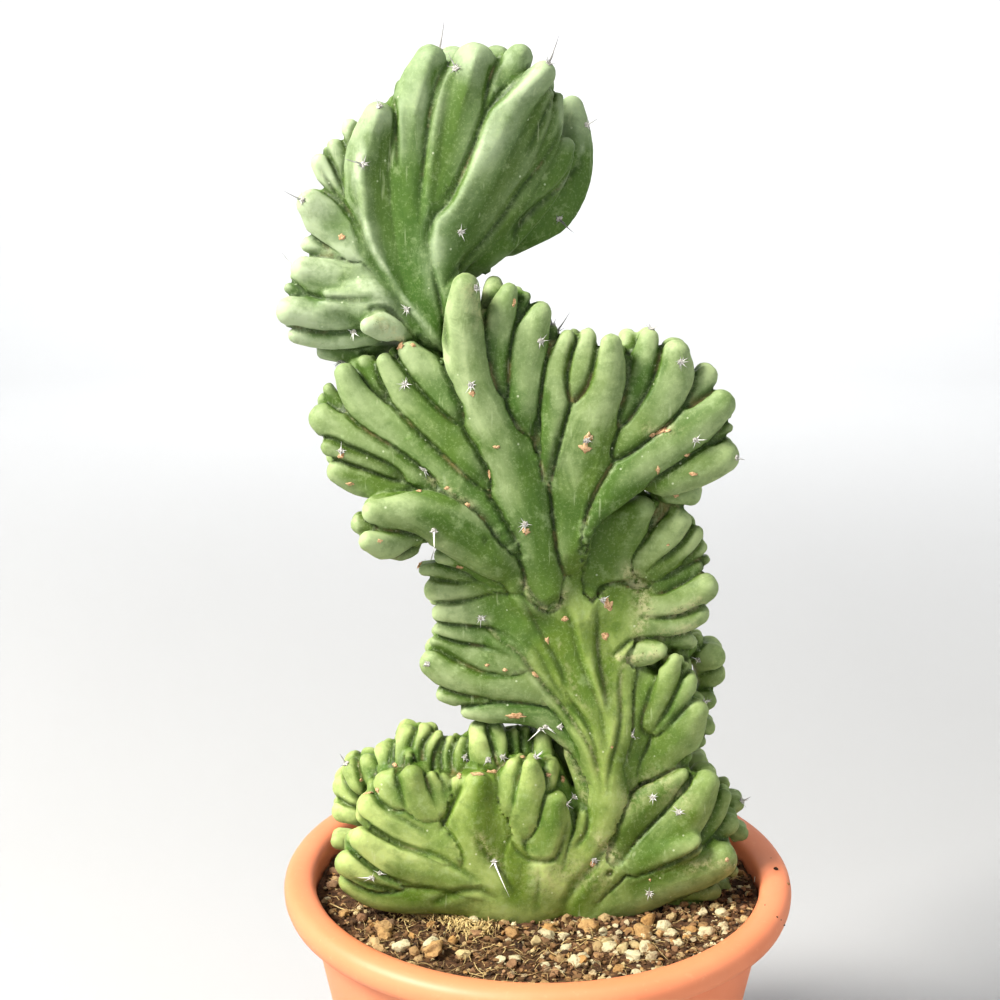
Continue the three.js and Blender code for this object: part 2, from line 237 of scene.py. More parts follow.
# %% [markdown]
# ## Floor and light
#
# The floor is a wide round bowl of pale board that turns up at its edge, so there is no horizon
# from any side. Three soft panels light the plant: a key high on the left and in front, which
# gives the ribs their shape, a weak fill on the right, and one above, for the crests. Four more
# stand over the bowl and shine outwards on its wall, which keeps the board white, and a pale sky
# softens what is left of the shadows.

# %% Floor
FLOOR_RADIUS = 2.6
FLOOR_TURN = 1.2   # the radius of the curve from the floor to its wall
FLOOR_RISE = 2.4   # the straight wall above the curve
TURN_STEPS = 8

bpy.ops.mesh.primitive_circle_add(vertices=96, radius=FLOOR_RADIUS, fill_type="NGON")
floor = named("floor")
bpy.ops.object.mode_set(mode="EDIT")
bpy.ops.mesh.select_all(action="SELECT")
bpy.ops.mesh.select_mode(type="EDGE")
bpy.ops.mesh.region_to_loop()
for step in range(1, TURN_STEPS + 1):
    angle = step * math.pi / 2 / TURN_STEPS
    before = (step - 1) * math.pi / 2 / TURN_STEPS
    out = FLOOR_TURN * (math.sin(angle) - math.sin(before))
    up = FLOOR_TURN * (math.cos(before) - math.cos(angle))
    radius = FLOOR_RADIUS + FLOOR_TURN * math.sin(angle)
    bpy.ops.mesh.extrude_edges_move(TRANSFORM_OT_translate={"value": (0, 0, up)})
    factor = radius / (radius - out)
    bpy.ops.transform.resize(value=(factor, factor, 1))
bpy.ops.mesh.extrude_edges_move(TRANSFORM_OT_translate={"value": (0, 0, FLOOR_RISE)})
bpy.ops.mesh.select_all(action="SELECT")
bpy.ops.mesh.normals_make_consistent(inside=True)
bpy.ops.object.mode_set(mode="OBJECT")
bpy.ops.object.shade_smooth()
board, shader = new_material("pale painted board")
set_inputs(board, shader, {"Base Color": "#B5B6B7", "Roughness": 0.9})
floor.data.materials.append(board)
print("floor faces:", len(floor.data.polygons))

# %% Lights
PLANT_MIDDLE = (0, 0, 0.28)
WALL_PANEL_AT = 1.9   # how far from the middle a wall panel hangs, and half the way to what it lights


def panel_light(name, place, size, watts, hex_colour, aim=PLANT_MIDDLE):
    bpy.ops.object.light_add(type="AREA", location=place)
    lamp = bpy.context.object
    lamp.name = name
    ray = Vector(aim) - Vector(place)
    lamp.rotation_euler = ray.to_track_quat("-Z", "Y").to_euler()
    lamp.data.shape = "SQUARE"
    lamp.data.size = size
    lamp.data.energy = watts
    lamp.data.color = linear(hex_colour)[:3]


panel_light("key_panel", (-1.2, -0.65, 1.6), 0.6, 70, "#FFFBF4")
panel_light("fill_panel", (1.2, -1.2, 0.9), 1.4, 1.5, "#F4F8FF")
panel_light("top_panel", (0.1, 0.3, 1.9), 1.0, 7, "#FFFFFF")
for number, (x, y) in enumerate([(0, 1), (1, 0), (0, -1), (-1, 0)]):
    panel_light(f"wall_panel_{number}", (WALL_PANEL_AT * x, WALL_PANEL_AT * y, 2.3), 1.6, 90, "#FFFFFF",
                aim=(2 * WALL_PANEL_AT * x, 2 * WALL_PANEL_AT * y, 1.0))

sky = bpy.data.worlds.new("pale sky")
sky.use_nodes = True
sky.node_tree.nodes["Background"].inputs["Color"].default_value = linear("#F2F4F6")
sky.node_tree.nodes["Background"].inputs["Strength"].default_value = 0.08
bpy.context.scene.world = sky
bpy.context.scene.view_settings.view_transform = "Standard"
bpy.context.scene.view_settings.look = "Medium High Contrast"
print("lights:", [each.name for each in bpy.data.lights])

# %% [markdown]
# ## One finger of a rib
#
# Every rib of the plant is the same thing at another size: a finger with a blunt, round end. So
# it is modelled once, from a circle that is extruded upwards in steps and drawn in at the end,
# and each rib is a copy whose points are moved onto the rib's own path. On the finger, height 0
# to 1 is the way along the rib, and above 1 is the round end.

# %% The finger
FINGER_SIDES = 14
FINGER_STEPS = 14
CAP_STEPS = 5

bpy.ops.mesh.primitive_circle_add(vertices=FINGER_SIDES, radius=1, fill_type="NGON")
finger = named("finger")
bpy.ops.object.mode_set(mode="EDIT")
bpy.ops.mesh.select_all(action="SELECT")
for step in range(FINGER_STEPS):
    bpy.ops.mesh.extrude_region_move(TRANSFORM_OT_translate={"value": (0, 0, 1 / FINGER_STEPS)})
for step in range(1, CAP_STEPS):
    angle = step * math.pi / 2 / CAP_STEPS
    before = angle - math.pi / 2 / CAP_STEPS
    rise = math.sin(angle) - math.sin(before)
    shrink = math.cos(angle) / math.cos(before)
    bpy.ops.mesh.extrude_region_move(TRANSFORM_OT_translate={"value": (0, 0, rise)})
    bpy.ops.transform.resize(value=(shrink, shrink, 1))
bpy.ops.mesh.select_all(action="SELECT")
bpy.ops.mesh.normals_make_consistent(inside=False)
bpy.ops.object.mode_set(mode="OBJECT")
finger_points = points_of(finger)
print("finger points:", len(finger_points), "height:", round(finger_points[:, 2].max(), 2))

# %% [markdown]
# ## The combs, traced over the picture
#
# A comb is a row of ribs that share a root. Each rib is written down the way it is seen in the
# picture, from its tip to its root: where its middle line passes, in pixels, and half its width
# there. Two more numbers say how far forward its ridge stands at the tip and at the root, in
# millimetres along Y, where a smaller number is nearer to the camera. A comb's own numbers are
# how thick it is at the root, from its front ridges to its back ones, how square the section of
# its ribs is (2 is round, less has a keen ridge and flat flanks), and how far the flanks run on
# under the neighbours, in half widths. The flesh behind the ribs is written in the same way,
# with its front and its back in millimetres.

# %% The combs and the flesh
# comb: (thickness, squareness, widening, ribs), rib: (front at tip, front at root, [(x, y, half width), ...])
COMBS = {
    "head": (25, 1.3, 1.9, [
        (-22, -16, [(378, 118, 17), (366, 165, 18), (372, 215, 16), (388, 270, 12), (415, 325, 9),
            (440, 365, 6)]),
        (-12, -12, [(402, 86, 8), (398, 110, 5), (397, 130, 3)]),
        (-20, -17, [(430, 62, 18), (420, 92, 20), (413, 130, 18), (410, 170, 16), (412, 215, 15),
            (418, 265, 16), (430, 315, 15), (444, 360, 9)]),
        (-21, -17, [(474, 66, 24), (464, 100, 26), (452, 140, 23), (441, 180, 16), (431, 220, 8)]),
        (-17, -16, [(519, 58, 15), (504, 82, 11), (490, 108, 4)]),
        (-22, -19, [(543, 74, 14), (519, 100, 17), (501, 130, 18), (486, 160, 18), (468, 195, 17),
            (447, 230, 15), (437, 265, 14), (438, 300, 11), (446, 345, 7)]),
        (-17, -14, [(546, 95, 9), (531, 125, 15), (515, 158, 18), (498, 192, 18), (478, 222, 15),
            (457, 252, 12), (445, 280, 8)]),
        (-12, -12, [(558, 98, 6), (552, 122, 10), (544, 147, 11), (530, 172, 10), (511, 201, 9),
            (490, 228, 6)]),
        (-8, -8, [(566, 147, 10), (553, 167, 15), (535, 192, 15), (515, 217, 14), (497, 242, 12),
            (479, 264, 8), (463, 283, 5)]),
        (8, 0, [(572, 108, 13), (575, 145, 14), (568, 182, 15), (548, 212, 16), (525, 235, 10),
            (505, 250, 8)]),
    ]),
    "head, left": (25, 1.7, 1.65, [
        (-12, -14, [(350, 127, 9), (352, 147, 6), (355, 165, 4)]),
        (-14, -15, [(335, 147, 9), (343, 166, 10), (349, 190, 8), (354, 215, 4)]),
        (-16, -15, [(320, 163, 10), (331, 181, 10), (343, 201, 9), (352, 221, 8), (359, 245, 4)]),
        (-21, -16, [(311, 204, 15), (324, 217, 17), (341, 233, 15), (355, 250, 10), (364, 268, 5)]),
        (-16, -15, [(309, 245, 9), (326, 251, 7), (345, 256, 6), (362, 264, 4)]),
        (-22, -17, [(304, 270, 14), (326, 279, 17), (350, 284, 16), (376, 290, 12), (396, 304, 7)]),
        (-19, -17, [(291, 289, 8), (306, 297, 6), (332, 302, 3)]),
        (-25, -17, [(290, 311, 15), (320, 315, 15), (350, 314, 14), (380, 312, 12), (403, 322, 8)]),
        (-22, -16, [(297, 334, 10), (320, 338, 9), (346, 338, 9), (371, 336, 8), (398, 332, 7)]),
        (-14, -12, [(324, 352, 8), (346, 352, 9), (371, 347, 9), (398, 343, 8)]),
        (-30, -22, [(368, 326, 9), (382, 327, 11), (399, 333, 8), (412, 341, 4)]),
    ]),
    "main fan, left": (25, 1.9, 1.75, [
        (-34, -33, [(360, 524, 10), (385, 527, 9), (410, 527, 8)]),
        (-41, -34, [(369, 541, 11), (390, 544, 12), (413, 539, 10)]),
        (-34, -30, [(388, 553, 7), (402, 551, 8), (417, 544, 8)]),
        (-38, -26, [(373, 512, 12), (405, 513, 16), (436, 516, 20), (463, 528, 20), (485, 546, 18),
            (504, 566, 13), (520, 588, 7)]),
        (-26, -24, [(339, 471, 13), (361, 479, 13), (386, 485, 10), (410, 488, 7), (432, 491, 3)]),
        (-26, -25, [(331, 446, 11), (349, 453, 11), (371, 461, 10), (395, 471, 9), (419, 483, 5)]),
        (-25, -27, [(323, 418, 15), (342, 432, 15), (366, 443, 13), (390, 455, 13), (411, 468, 12),
            (431, 482, 9), (450, 495, 4)]),
        (-18, -22, [(328, 389, 6), (335, 403, 8), (346, 416, 6), (359, 426, 3)]),
        (-26, -28, [(345, 373, 11), (353, 391, 13), (368, 409, 15), (389, 426, 15), (411, 442, 16),
            (433, 461, 17), (453, 480, 17), (476, 502, 14), (494, 523, 11), (509, 544, 8), (521, 563, 5)]),
        (-20, -23, [(365, 363, 9), (372, 379, 10), (384, 395, 10), (399, 411, 8), (414, 424, 4)]),
        (-22, -25, [(378, 362, 4), (385, 378, 5), (396, 396, 4), (409, 413, 3)]),
        (-26, -29, [(386, 362, 10), (398, 380, 13), (416, 402, 15), (437, 425, 17), (458, 448, 16),
            (476, 469, 12), (492, 492, 6)]),
        (-26, -29, [(409, 352, 12), (425, 372, 15), (441, 391, 15), (455, 410, 10), (466, 427, 5)]),
    ]),
    "main fan, right": (25, 2.0, 1.7, [
        (-34, -21, [(465, 288, 14), (463, 320, 17), (466, 360, 18), (481, 405, 20), (501, 450, 22),
            (521, 495, 24), (534, 538, 19), (540, 560, 17), (546, 582, 13), (551, 600, 9), (555, 615, 4)]),
        (-16, -20, [(494, 285, 9), (490, 301, 7), (486, 320, 5)]),
        (-25, -27, [(509, 291, 9), (503, 310, 12), (497, 335, 14), (497, 360, 12), (501, 386, 8),
            (508, 412, 3)]),
        (-20, -24, [(526, 297, 6), (521, 310, 5), (515, 325, 3)]),
        (-25, -27, [(541, 313, 11), (531, 335, 15), (524, 360, 15), (521, 386, 14), (521, 411, 11),
            (525, 435, 7)]),
        (-22, -25, [(540, 402, 5), (538, 430, 5), (541, 460, 4), (545, 487, 2)]),
        (-20, -22, [(552, 331, 7), (547, 350, 6), (543, 370, 6), (538, 389, 3)]),
        (-24, -27, [(568, 338, 9), (561, 358, 10), (558, 380, 11), (556, 405, 11), (552, 435, 9),
            (548, 465, 6), (546, 492, 3)]),
        (-24, -26, [(587, 338, 10), (583, 358, 13), (578, 380, 12), (572, 403, 6)]),
        (-28, -23, [(611, 344, 11), (609, 366, 15), (603, 390, 17), (594, 412, 20), (586, 436, 23),
            (579, 460, 25), (573, 486, 22), (569, 511, 19), (569, 536, 15), (573, 561, 11), (576, 583, 5)]),
        (-21, -24, [(627, 358, 4), (623, 385, 4), (617, 411, 3), (612, 440, 2)]),
        (-14, -18, [(628, 338, 9), (630, 349, 6), (631, 361, 3)]),
        (-21, -23, [(649, 338, 10), (647, 356, 13), (642, 376, 13), (632, 398, 11), (622, 418, 8),
            (614, 438, 4)]),
        (-24, -24, [(676, 353, 14), (673, 373, 18), (664, 394, 18), (652, 412, 17), (637, 429, 14),
            (622, 447, 10), (610, 464, 4)]),
        (-18, -21, [(707, 375, 11), (700, 390, 12), (689, 403, 10), (675, 419, 4)]),
        (-24, -26, [(721, 404, 15), (700, 420, 18), (678, 437, 17), (655, 452, 17), (633, 468, 16),
            (615, 484, 14), (602, 501, 11), (592, 519, 7), (584, 546, 4), (580, 570, 3)]),
        (-18, -20, [(727, 428, 7), (715, 438, 6), (700, 449, 4)]),
        (-22, -22, [(723, 456, 17), (703, 464, 15), (683, 474, 12), (662, 483, 9), (643, 490, 4)]),
        (-14, -14, [(690, 494, 12), (673, 494, 9), (655, 492, 5)]),
        (-17, -15, [(642, 508, 13), (624, 525, 19), (608, 545, 22), (599, 572, 22), (593, 602, 20)]),
    ]),
    "left comb": (24, 1.8, 1.65, [
        (-22, -22, [(440, 557, 7), (459, 556, 11), (478, 564, 11), (496, 576, 9), (512, 589, 5)]),
        (-18, -20, [(425, 570, 7), (445, 572, 8), (465, 575, 6), (486, 580, 2)]),
        (-19, -20, [(435, 590, 12), (455, 591, 11), (476, 588, 8), (497, 585, 5)]),
        (-20, -20, [(443, 613, 12), (470, 611, 15), (500, 611, 18), (528, 622, 19), (548, 640, 16)]),
        (-19, -22, [(441, 627, 9), (465, 632, 10), (490, 636, 9), (511, 646, 8), (529, 664, 5)]),
        (-18, -22, [(436, 643, 8), (455, 650, 10), (480, 657, 12), (505, 661, 11), (527, 668, 5)]),
        (-22, -22, [(434, 663, 15), (456, 675, 15), (481, 683, 13), (511, 686, 12), (541, 690, 11),
            (566, 704, 7)]),
        (-20, -20, [(443, 694, 8), (462, 698, 8), (486, 698, 4), (512, 699, 2)]),
        (-20, -22, [(468, 711, 8), (490, 711, 11), (515, 710, 11), (541, 714, 11), (561, 727, 11),
            (577, 748, 9), (589, 775, 8), (595, 803, 7)]),
    ]),
    "right comb": (22, 1.9, 1.6, [
        (-10, -12, [(662, 507, 6), (652, 519, 7), (642, 533, 7), (632, 549, 7), (622, 563, 5)]),
        (-15, -14, [(679, 521, 13), (667, 535, 14), (655, 547, 13), (644, 558, 10), (632, 569, 7)]),
        (-12, -13, [(695, 533, 9), (685, 545, 9), (672, 555, 9), (660, 564, 7), (646, 573, 4)]),
        (-8, -10, [(701, 547, 7), (690, 556, 6), (679, 563, 3)]),
        (-6, -8, [(706, 560, 5), (699, 568, 4)]),
        (-10, -12, [(698, 568, 7), (686, 576, 7), (672, 583, 6), (660, 589, 5), (649, 596, 3)]),
        (-15, -14, [(704, 587, 15), (685, 598, 13), (668, 604, 11), (652, 606, 9), (637, 606, 8)]),
        (-13, -14, [(698, 613, 12), (680, 622, 10), (662, 624, 10), (645, 625, 9), (630, 628, 8)]),
        (-10, -10, [(688, 638, 7), (672, 640, 6), (655, 641, 4)]),
        (-17, -15, [(660, 651, 9), (643, 653, 12), (626, 655, 11), (612, 657, 8)]),
    ]),
    "shoulder": (24, 1.8, 1.65, [
        (0, 0, [(690, 645, 8), (682, 657, 7)]),
        (4, 2, [(697, 640, 8), (690, 657, 7)]),
        (0, 0, [(712, 656, 14), (698, 668, 11)]),
        (4, 2, [(713, 673, 13), (700, 680, 10)]),
        (-15, -22, [(643, 680, 15), (638, 704, 17), (633, 730, 15), (623, 765, 14), (613, 797, 10)]),
        (-18, -18, [(674, 660, 8), (666, 681, 11), (657, 701, 12), (647, 721, 10), (638, 738, 7)]),
        (-14, -15, [(686, 667, 5), (681, 678, 5), (674, 691, 3)]),
        (-17, -17, [(690, 680, 8), (682, 695, 11), (672, 710, 9), (660, 724, 7), (648, 738, 4)]),
        (2, 0, [(707, 700, 10), (696, 705, 9)]),
        (-18, -18, [(695, 711, 14), (684, 726, 18), (671, 741, 18), (657, 753, 16), (645, 765, 11),
            (636, 779, 5)]),
        (2, 0, [(707, 727, 9), (695, 731, 8)]),
        (2, 0, [(699, 740, 8), (688, 744, 8)]),
        (-14, -16, [(684, 755, 9), (672, 763, 7), (658, 769, 5), (645, 777, 3)]),
        (2, 0, [(699, 763, 10), (688, 771, 8)]),
    ]),
    "right base comb": (27, 1.8, 1.7, [
        (-15, -18, [(668, 770, 4), (651, 779, 5), (636, 790, 6), (622, 803, 5)]),
        (-20, -30, [(683, 774, 7), (668, 785, 10), (652, 798, 13), (635, 812, 14), (618, 829, 14),
            (604, 849, 15), (592, 876, 16), (583, 905, 16), (575, 940, 16)]),
        (-17, -20, [(694, 774, 4), (683, 787, 5), (671, 802, 4)]),
        (-22, -27, [(706, 783, 14), (697, 800, 15), (684, 818, 17), (669, 834, 18), (652, 849, 14),
            (635, 863, 9), (618, 878, 4)]),
        (-4, -4, [(726, 784, 5), (716, 788, 4)]),
        (-16, -21, [(724, 796, 8), (715, 813, 9), (705, 828, 10), (695, 840, 8), (684, 848, 3)]),
        (-2, -2, [(736, 803, 9), (726, 808, 8)]),
        (-14, -17, [(730, 823, 10), (720, 833, 9), (709, 840, 4)]),
        (2, 0, [(741, 833, 8), (730, 834, 8)]),
        (-24, -30, [(718, 859, 20), (696, 868, 19), (673, 876, 17), (651, 884, 17), (628, 893, 17),
            (608, 901, 15), (585, 915, 13), (565, 930, 12)]),
        (-18, -20, [(731, 870, 9), (720, 868, 9)]),
        (-16, -22, [(713, 892, 9), (699, 893, 9), (684, 897, 7)]),
        (-8, -8, [(724, 888, 8), (714, 891, 7)]),
        (-18, -22, [(703, 906, 6), (685, 904, 7), (667, 903, 6)]),
    ]),
    "left base comb": (15, 1.7, 1.6, [
        (-32, -34, [(350, 881, 12), (371, 893, 12), (396, 897, 13), (425, 891, 18), (455, 887, 20),
            (485, 891, 22), (512, 900, 22), (535, 925, 22)]),
        (-35, -33, [(348, 863, 14), (366, 874, 13), (386, 882, 9), (411, 888, 6)]),
        (-35, -34, [(363, 839, 14), (383, 852, 17), (406, 862, 19), (431, 868, 19), (456, 876, 19),
            (482, 887, 18), (510, 905, 18)]),
        (-30, -33, [(370, 806, 13), (387, 817, 16), (407, 827, 19), (429, 838, 20), (454, 850, 20),
            (479, 866, 20)]),
        (-28, -28, [(386, 783, 13), (394, 798, 15), (407, 810, 10)]),
        (-26, -27, [(399, 776, 5), (402, 788, 6), (407, 797, 4)]),
        (-31, -30, [(412, 775, 11), (416, 790, 13), (423, 804, 13), (431, 819, 8)]),
        (-28, -29, [(431, 776, 6), (436, 789, 8), (441, 801, 6), (444, 813, 4)]),
        (-26, -28, [(443, 776, 4), (448, 789, 5), (450, 802, 3)]),
        (-25, -27, [(455, 780, 5), (456, 790, 5), (452, 801, 4)]),
        (-32, -34, [(478, 783, 13), (476, 801, 20), (473, 823, 24), (476, 847, 26), (486, 870, 28),
            (500, 894, 28), (515, 925, 26)]),
        (-27, -30, [(514, 765, 8), (508, 781, 9), (506, 798, 8), (510, 816, 4)]),
        (-31, -31, [(531, 766, 9), (532, 783, 12), (528, 801, 13), (526, 819, 11), (524, 837, 6)]),
        (-26, -27, [(549, 771, 7), (549, 785, 7), (543, 796, 4)]),
        (-30, -32, [(555, 801, 12), (552, 818, 16), (547, 836, 17), (541, 855, 19), (537, 885, 24),
            (535, 920, 24)]),
        (-20, -28, [(572, 752, 9), (583, 780, 8), (589, 805, 8), (586, 828, 8), (574, 848, 10),
            (560, 875, 14)]),
    ]),
    "left base comb, behind its crest": (18, 2.1, 1.25, [
        (-8, -10, [(338, 841, 8), (352, 846, 8)]),
        (-14, -16, [(342, 811, 11), (356, 815, 9), (375, 825, 10)]),
        (-10, -14, [(345, 786, 13), (357, 797, 12), (375, 812, 12)]),
        (-12, -16, [(354, 769, 12), (359, 785, 10), (366, 798, 8)]),
        (-13, -17, [(367, 764, 11), (371, 780, 9), (377, 795, 7)]),
        (-15, -22, [(384, 751, 10), (387, 766, 7), (392, 782, 6), (396, 793, 4)]),
        (-15, -21, [(395, 745, 4), (393, 759, 4), (391, 771, 4)]),
        (-15, -23, [(407, 734, 10), (402, 749, 9), (400, 765, 7), (399, 777, 5)]),
        (-23, -24, [(409, 757, 5), (408, 764, 4), (406, 776, 4)]),
        (-15, -23, [(424, 730, 8), (418, 744, 7), (418, 760, 6), (418, 772, 4)]),
        (-16, -24, [(438, 735, 6), (429, 749, 7), (426, 766, 5), (424, 778, 4)]),
        (-16, -23, [(441, 742, 4), (437, 756, 5), (439, 770, 4), (441, 782, 4)]),
        (-16, -24, [(450, 741, 6), (446, 755, 6), (448, 770, 5), (450, 782, 4)]),
        (-17, -24, [(464, 741, 6), (459, 756, 8), (457, 771, 5), (455, 783, 4)]),
        (-18, -25, [(478, 729, 9), (480, 746, 12), (486, 762, 9), (490, 773, 7)]),
        (-17, -24, [(495, 729, 8), (499, 743, 8), (501, 759, 5), (502, 771, 4)]),
        (-13, -20, [(514, 733, 6), (516, 747, 6), (519, 760, 4), (522, 772, 4)]),
        (-11, -18, [(525, 731, 6), (525, 749, 6), (525, 761, 4)]),
        (-15, -22, [(543, 738, 9), (543, 756, 8), (543, 768, 6)]),
        (-7, -14, [(560, 745, 9), (563, 765, 9), (566, 787, 8), (568, 799, 6)]),
    ]),
    "trunk": (34, 1.5, 1.8, [
        (-19, -31, [(562, 562, 10), (572, 620, 16), (584, 672, 15), (596, 710, 15), (605, 750, 14),
            (606, 785, 14), (602, 818, 17), (590, 855, 22), (575, 895, 26), (570, 930, 26)]),
        (-16, -28, [(500, 560, 10), (536, 624, 16), (558, 672, 14), (578, 712, 14), (596, 750, 12),
            (603, 790, 9)]),
        (-13, -26, [(602, 560, 14), (610, 632, 20), (615, 690, 15), (616, 740, 13), (611, 790, 10)]),
        (-18, -27, [(540, 680, 7), (564, 710, 9), (583, 738, 9), (596, 772, 8)]),
        (-31, -33, [(518, 862, 26), (520, 885, 30), (525, 905, 30), (528, 930, 28)]),
    ]),
}
# (front, back, [(x, y, half width), ...])
FLESH = [
    (-10, 13, [(412, 205, 12), (420, 245, 21), (432, 300, 24), (446, 350, 20), (458, 400, 14),
        (468, 445, 8)]),
    (-6, 14, [(400, 105, 12), (402, 170, 20), (410, 240, 22)]),
    (-13, 12, [(330, 228, 10), (360, 245, 18), (390, 275, 20)]),
    (-18, 8, [(335, 300, 14), (370, 300, 24), (400, 322, 16)]),
    (-4, 16, [(520, 120, 16), (490, 180, 20), (450, 260, 16)]),
    (-12, 4, [(520, 350, 16), (533, 410, 20), (545, 480, 25), (560, 570, 22)]),
    (-14, 4, [(395, 400, 16), (440, 450, 24), (500, 520, 24), (545, 590, 18)]),
    (-18, 6, [(512, 596, 14), (550, 612, 26), (600, 600, 26)]),
    (-20, 0, [(508, 568, 10), (524, 590, 12), (545, 612, 14)]),
    (-8, 8, [(695, 488, 7), (660, 500, 12), (622, 540, 18), (600, 600, 20)]),
    (-6, 8, [(690, 560, 10), (660, 578, 20), (620, 598, 26)]),
    (-6, 8, [(690, 640, 8), (655, 640, 14), (610, 650, 24)]),
    (-8, 10, [(460, 580, 8), (480, 650, 34), (560, 660, 30)]),
    (-8, 10, [(480, 700, 12), (530, 700, 12), (585, 720, 16)]),
    (-6, 4, [(640, 666, 13), (668, 662, 13), (690, 658, 11)]),
    (-10, 0, [(640, 590, 11), (632, 608, 12), (626, 626, 9)]),
    (-12, 0, [(640, 590, 12), (622, 592, 15), (602, 600, 18)]),
    (-10, 10, [(660, 700, 20), (630, 740, 24), (605, 800, 24)]),
    (-17, 4, [(690, 820, 16), (650, 850, 24), (590, 880, 26)]),
    (-26, -6, [(372, 805, 16), (420, 825, 26), (480, 850, 34), (530, 885, 34)]),
    (-26, -6, [(492, 795, 14), (506, 830, 20), (518, 865, 24)]),
    (-22, -2, [(395, 772, 8), (440, 778, 10), (500, 778, 12), (555, 785, 12)]),
    (-12, 14, [(575, 590, 30), (578, 660, 40), (592, 710, 34), (602, 760, 24), (600, 820, 30),
        (570, 870, 44), (535, 925, 52)]),
    (-6, 8, [(490, 745, 12), (520, 742, 14), (552, 752, 14)]),
    (-16, 4, [(480, 757, 8), (505, 758, 9), (540, 762, 10)]),
    (-17, 8, [(500, 640, 16), (535, 655, 20), (562, 692, 20)]),
    (-9, 6, [(690, 560, 12), (655, 572, 20), (622, 592, 22)]),
    (-18, 4, [(540, 345, 10), (538, 390, 14), (537, 440, 16), (546, 490, 18)]),
    (-22, 4, [(690, 838, 12), (650, 850, 18), (610, 870, 24), (580, 900, 26)]),
    (-20, -4, [(480, 740, 10), (490, 800, 30), (515, 860, 35)]),
    (-20, 2, [(548, 760, 10), (552, 800, 22), (560, 860, 26)]),
]
print("combs:", len(COMBS), "ribs:", sum(len(comb[-1]) for comb in COMBS.values()), "flesh:", len(FLESH))

# %% [markdown]
# ## From the picture to the plant
#
# `reach` goes along the line of sight through a pixel until it is at a given depth, so a traced
# point becomes a point of the plant, and a width in pixels becomes a width in metres. A smooth
# curve through a rib's points is its path, from the root at 0 to the tip at 1.

# %% Paths
RIB_DEEP = 0.95     # half the depth of a rib's section, for a rib with a half width of 1
ROOT_SINK = 0.9     # how far a rib dives into the flesh at its root, in its greatest half width
FLESH_SINK = 0.2    # the same for a piece of the flesh
PATH_ROWS = 9


def reach(px, py, depth):
    ray = sight(px, py)
    return np.array(CAMERA_PLACE + ray * ((depth - CAMERA_PLACE.y) / ray.y))


def traced_path(rib, sink=ROOT_SINK):
    """Rows of x, y, z and radius in metres, from the root to the tip."""
    tip_front, root_front, marks = rib
    last = len(marks) - 1
    rows = []
    for place, (px, py, half_width) in enumerate(marks):
        front = (tip_front + (root_front - tip_front) * place / last) * MM
        away = -((reach(px, py, front) - np.array(CAMERA_PLACE)) @ np.array(camera_turn.col[2]))
        radius = half_width * away * SENSOR_MM / LENS_MM / PICTURE
        rows.append([*reach(px, py, front + RIB_DEEP * radius), radius])
    rows = np.array(rows[::-1])
    rows[0, 1] += sink * rows[:, 3].max()
    return rows


def along_path(path, t):
    """A smooth curve through the path's rows, for t from 0 to 1."""
    rows = np.vstack([2 * path[0] - path[1], path, 2 * path[-1] - path[-2]])
    spans = len(path) - 1
    place = np.clip(t, 0, 1) * spans
    k = np.minimum(place.astype(int), spans - 1)
    u = (place - k)[:, None]
    a, b, c, d = rows[k], rows[k + 1], rows[k + 2], rows[k + 3]
    return (2 * b + (c - a) * u + (2 * a - 5 * b + 4 * c - d) * u ** 2 + (3 * b - a - 3 * c + d) * u ** 3) / 2


def resampled(path):
    return along_path(path, np.linspace(0, 1, PATH_ROWS))


def length_of(path):
    return np.linalg.norm(np.diff(path[:, :3], axis=0), axis=1).sum()


# %% Growing a finger along a path
TIP_WIDENING = 1.06
LEAST_WIDENING = 1.1
FULL_FLANK = 5.5 * MM   # a rib with at least this half width has its full flanks, a small lobe has less
ROOT_THIN = 0.4         # how thick a stretched piece is at its root, as a share of its full thickness
SMALL_STEP = 0.01


def grow(path, stretch=0.0, square=2.0, widening=1.2):
    """A copy of the finger on a path. The stretch draws its front and back apart, by so much in all."""
    widening = LEAST_WIDENING + (widening - LEAST_WIDENING) * min(1.0, path[:, 3].max() / FULL_FLANK)
    piece = finger.copy()
    piece.data = finger.data.copy()
    bpy.context.collection.objects.link(piece)
    x, y, z = finger_points.T
    t = np.clip(z, 0, 1)
    rows = along_path(path, t)
    along = along_path(path, t + SMALL_STEP)[:, :3] - along_path(path, t - SMALL_STEP)[:, :3]
    along /= np.linalg.norm(along, axis=1, keepdims=True)
    side = np.stack([along[:, 2], np.zeros(len(t)), -along[:, 0]], axis=1)
    side /= np.linalg.norm(side, axis=1, keepdims=True)
    front = np.cross(side, along)
    radius = rows[:, 3][:, None]
    beyond = np.clip(z - 1, 0, None)[:, None]
    size = np.hypot(x, y) + 1e-9
    swell = ((np.abs(x) / size) ** square + (np.abs(y) / size) ** square) ** (-1 / square)
    width = x * swell * (widening + (TIP_WIDENING - widening) * t ** 3)
    height = y * swell * RIB_DEEP
    points = rows[:, :3] + radius * (along * beyond + side * width[:, None] + front * height[:, None])
    points[:, 1] -= np.sign(y) * stretch / 2 * (ROOT_THIN + (1 - ROOT_THIN) * np.minimum(1, 4 * t))
    move_points(piece, points)
    return piece


# %% [markdown]
# ## The plant's body
#
# Each rib becomes three overlapping pieces: a round finger on the front face, one on the back
# face that is set half a rib sideways, and a flat core between the two. A voxel remesh melts all
# of them into one closed skin, as a sculptor presses rolls of clay together. The grooves between
# the ribs stay, because neighbours touch only where they run close.

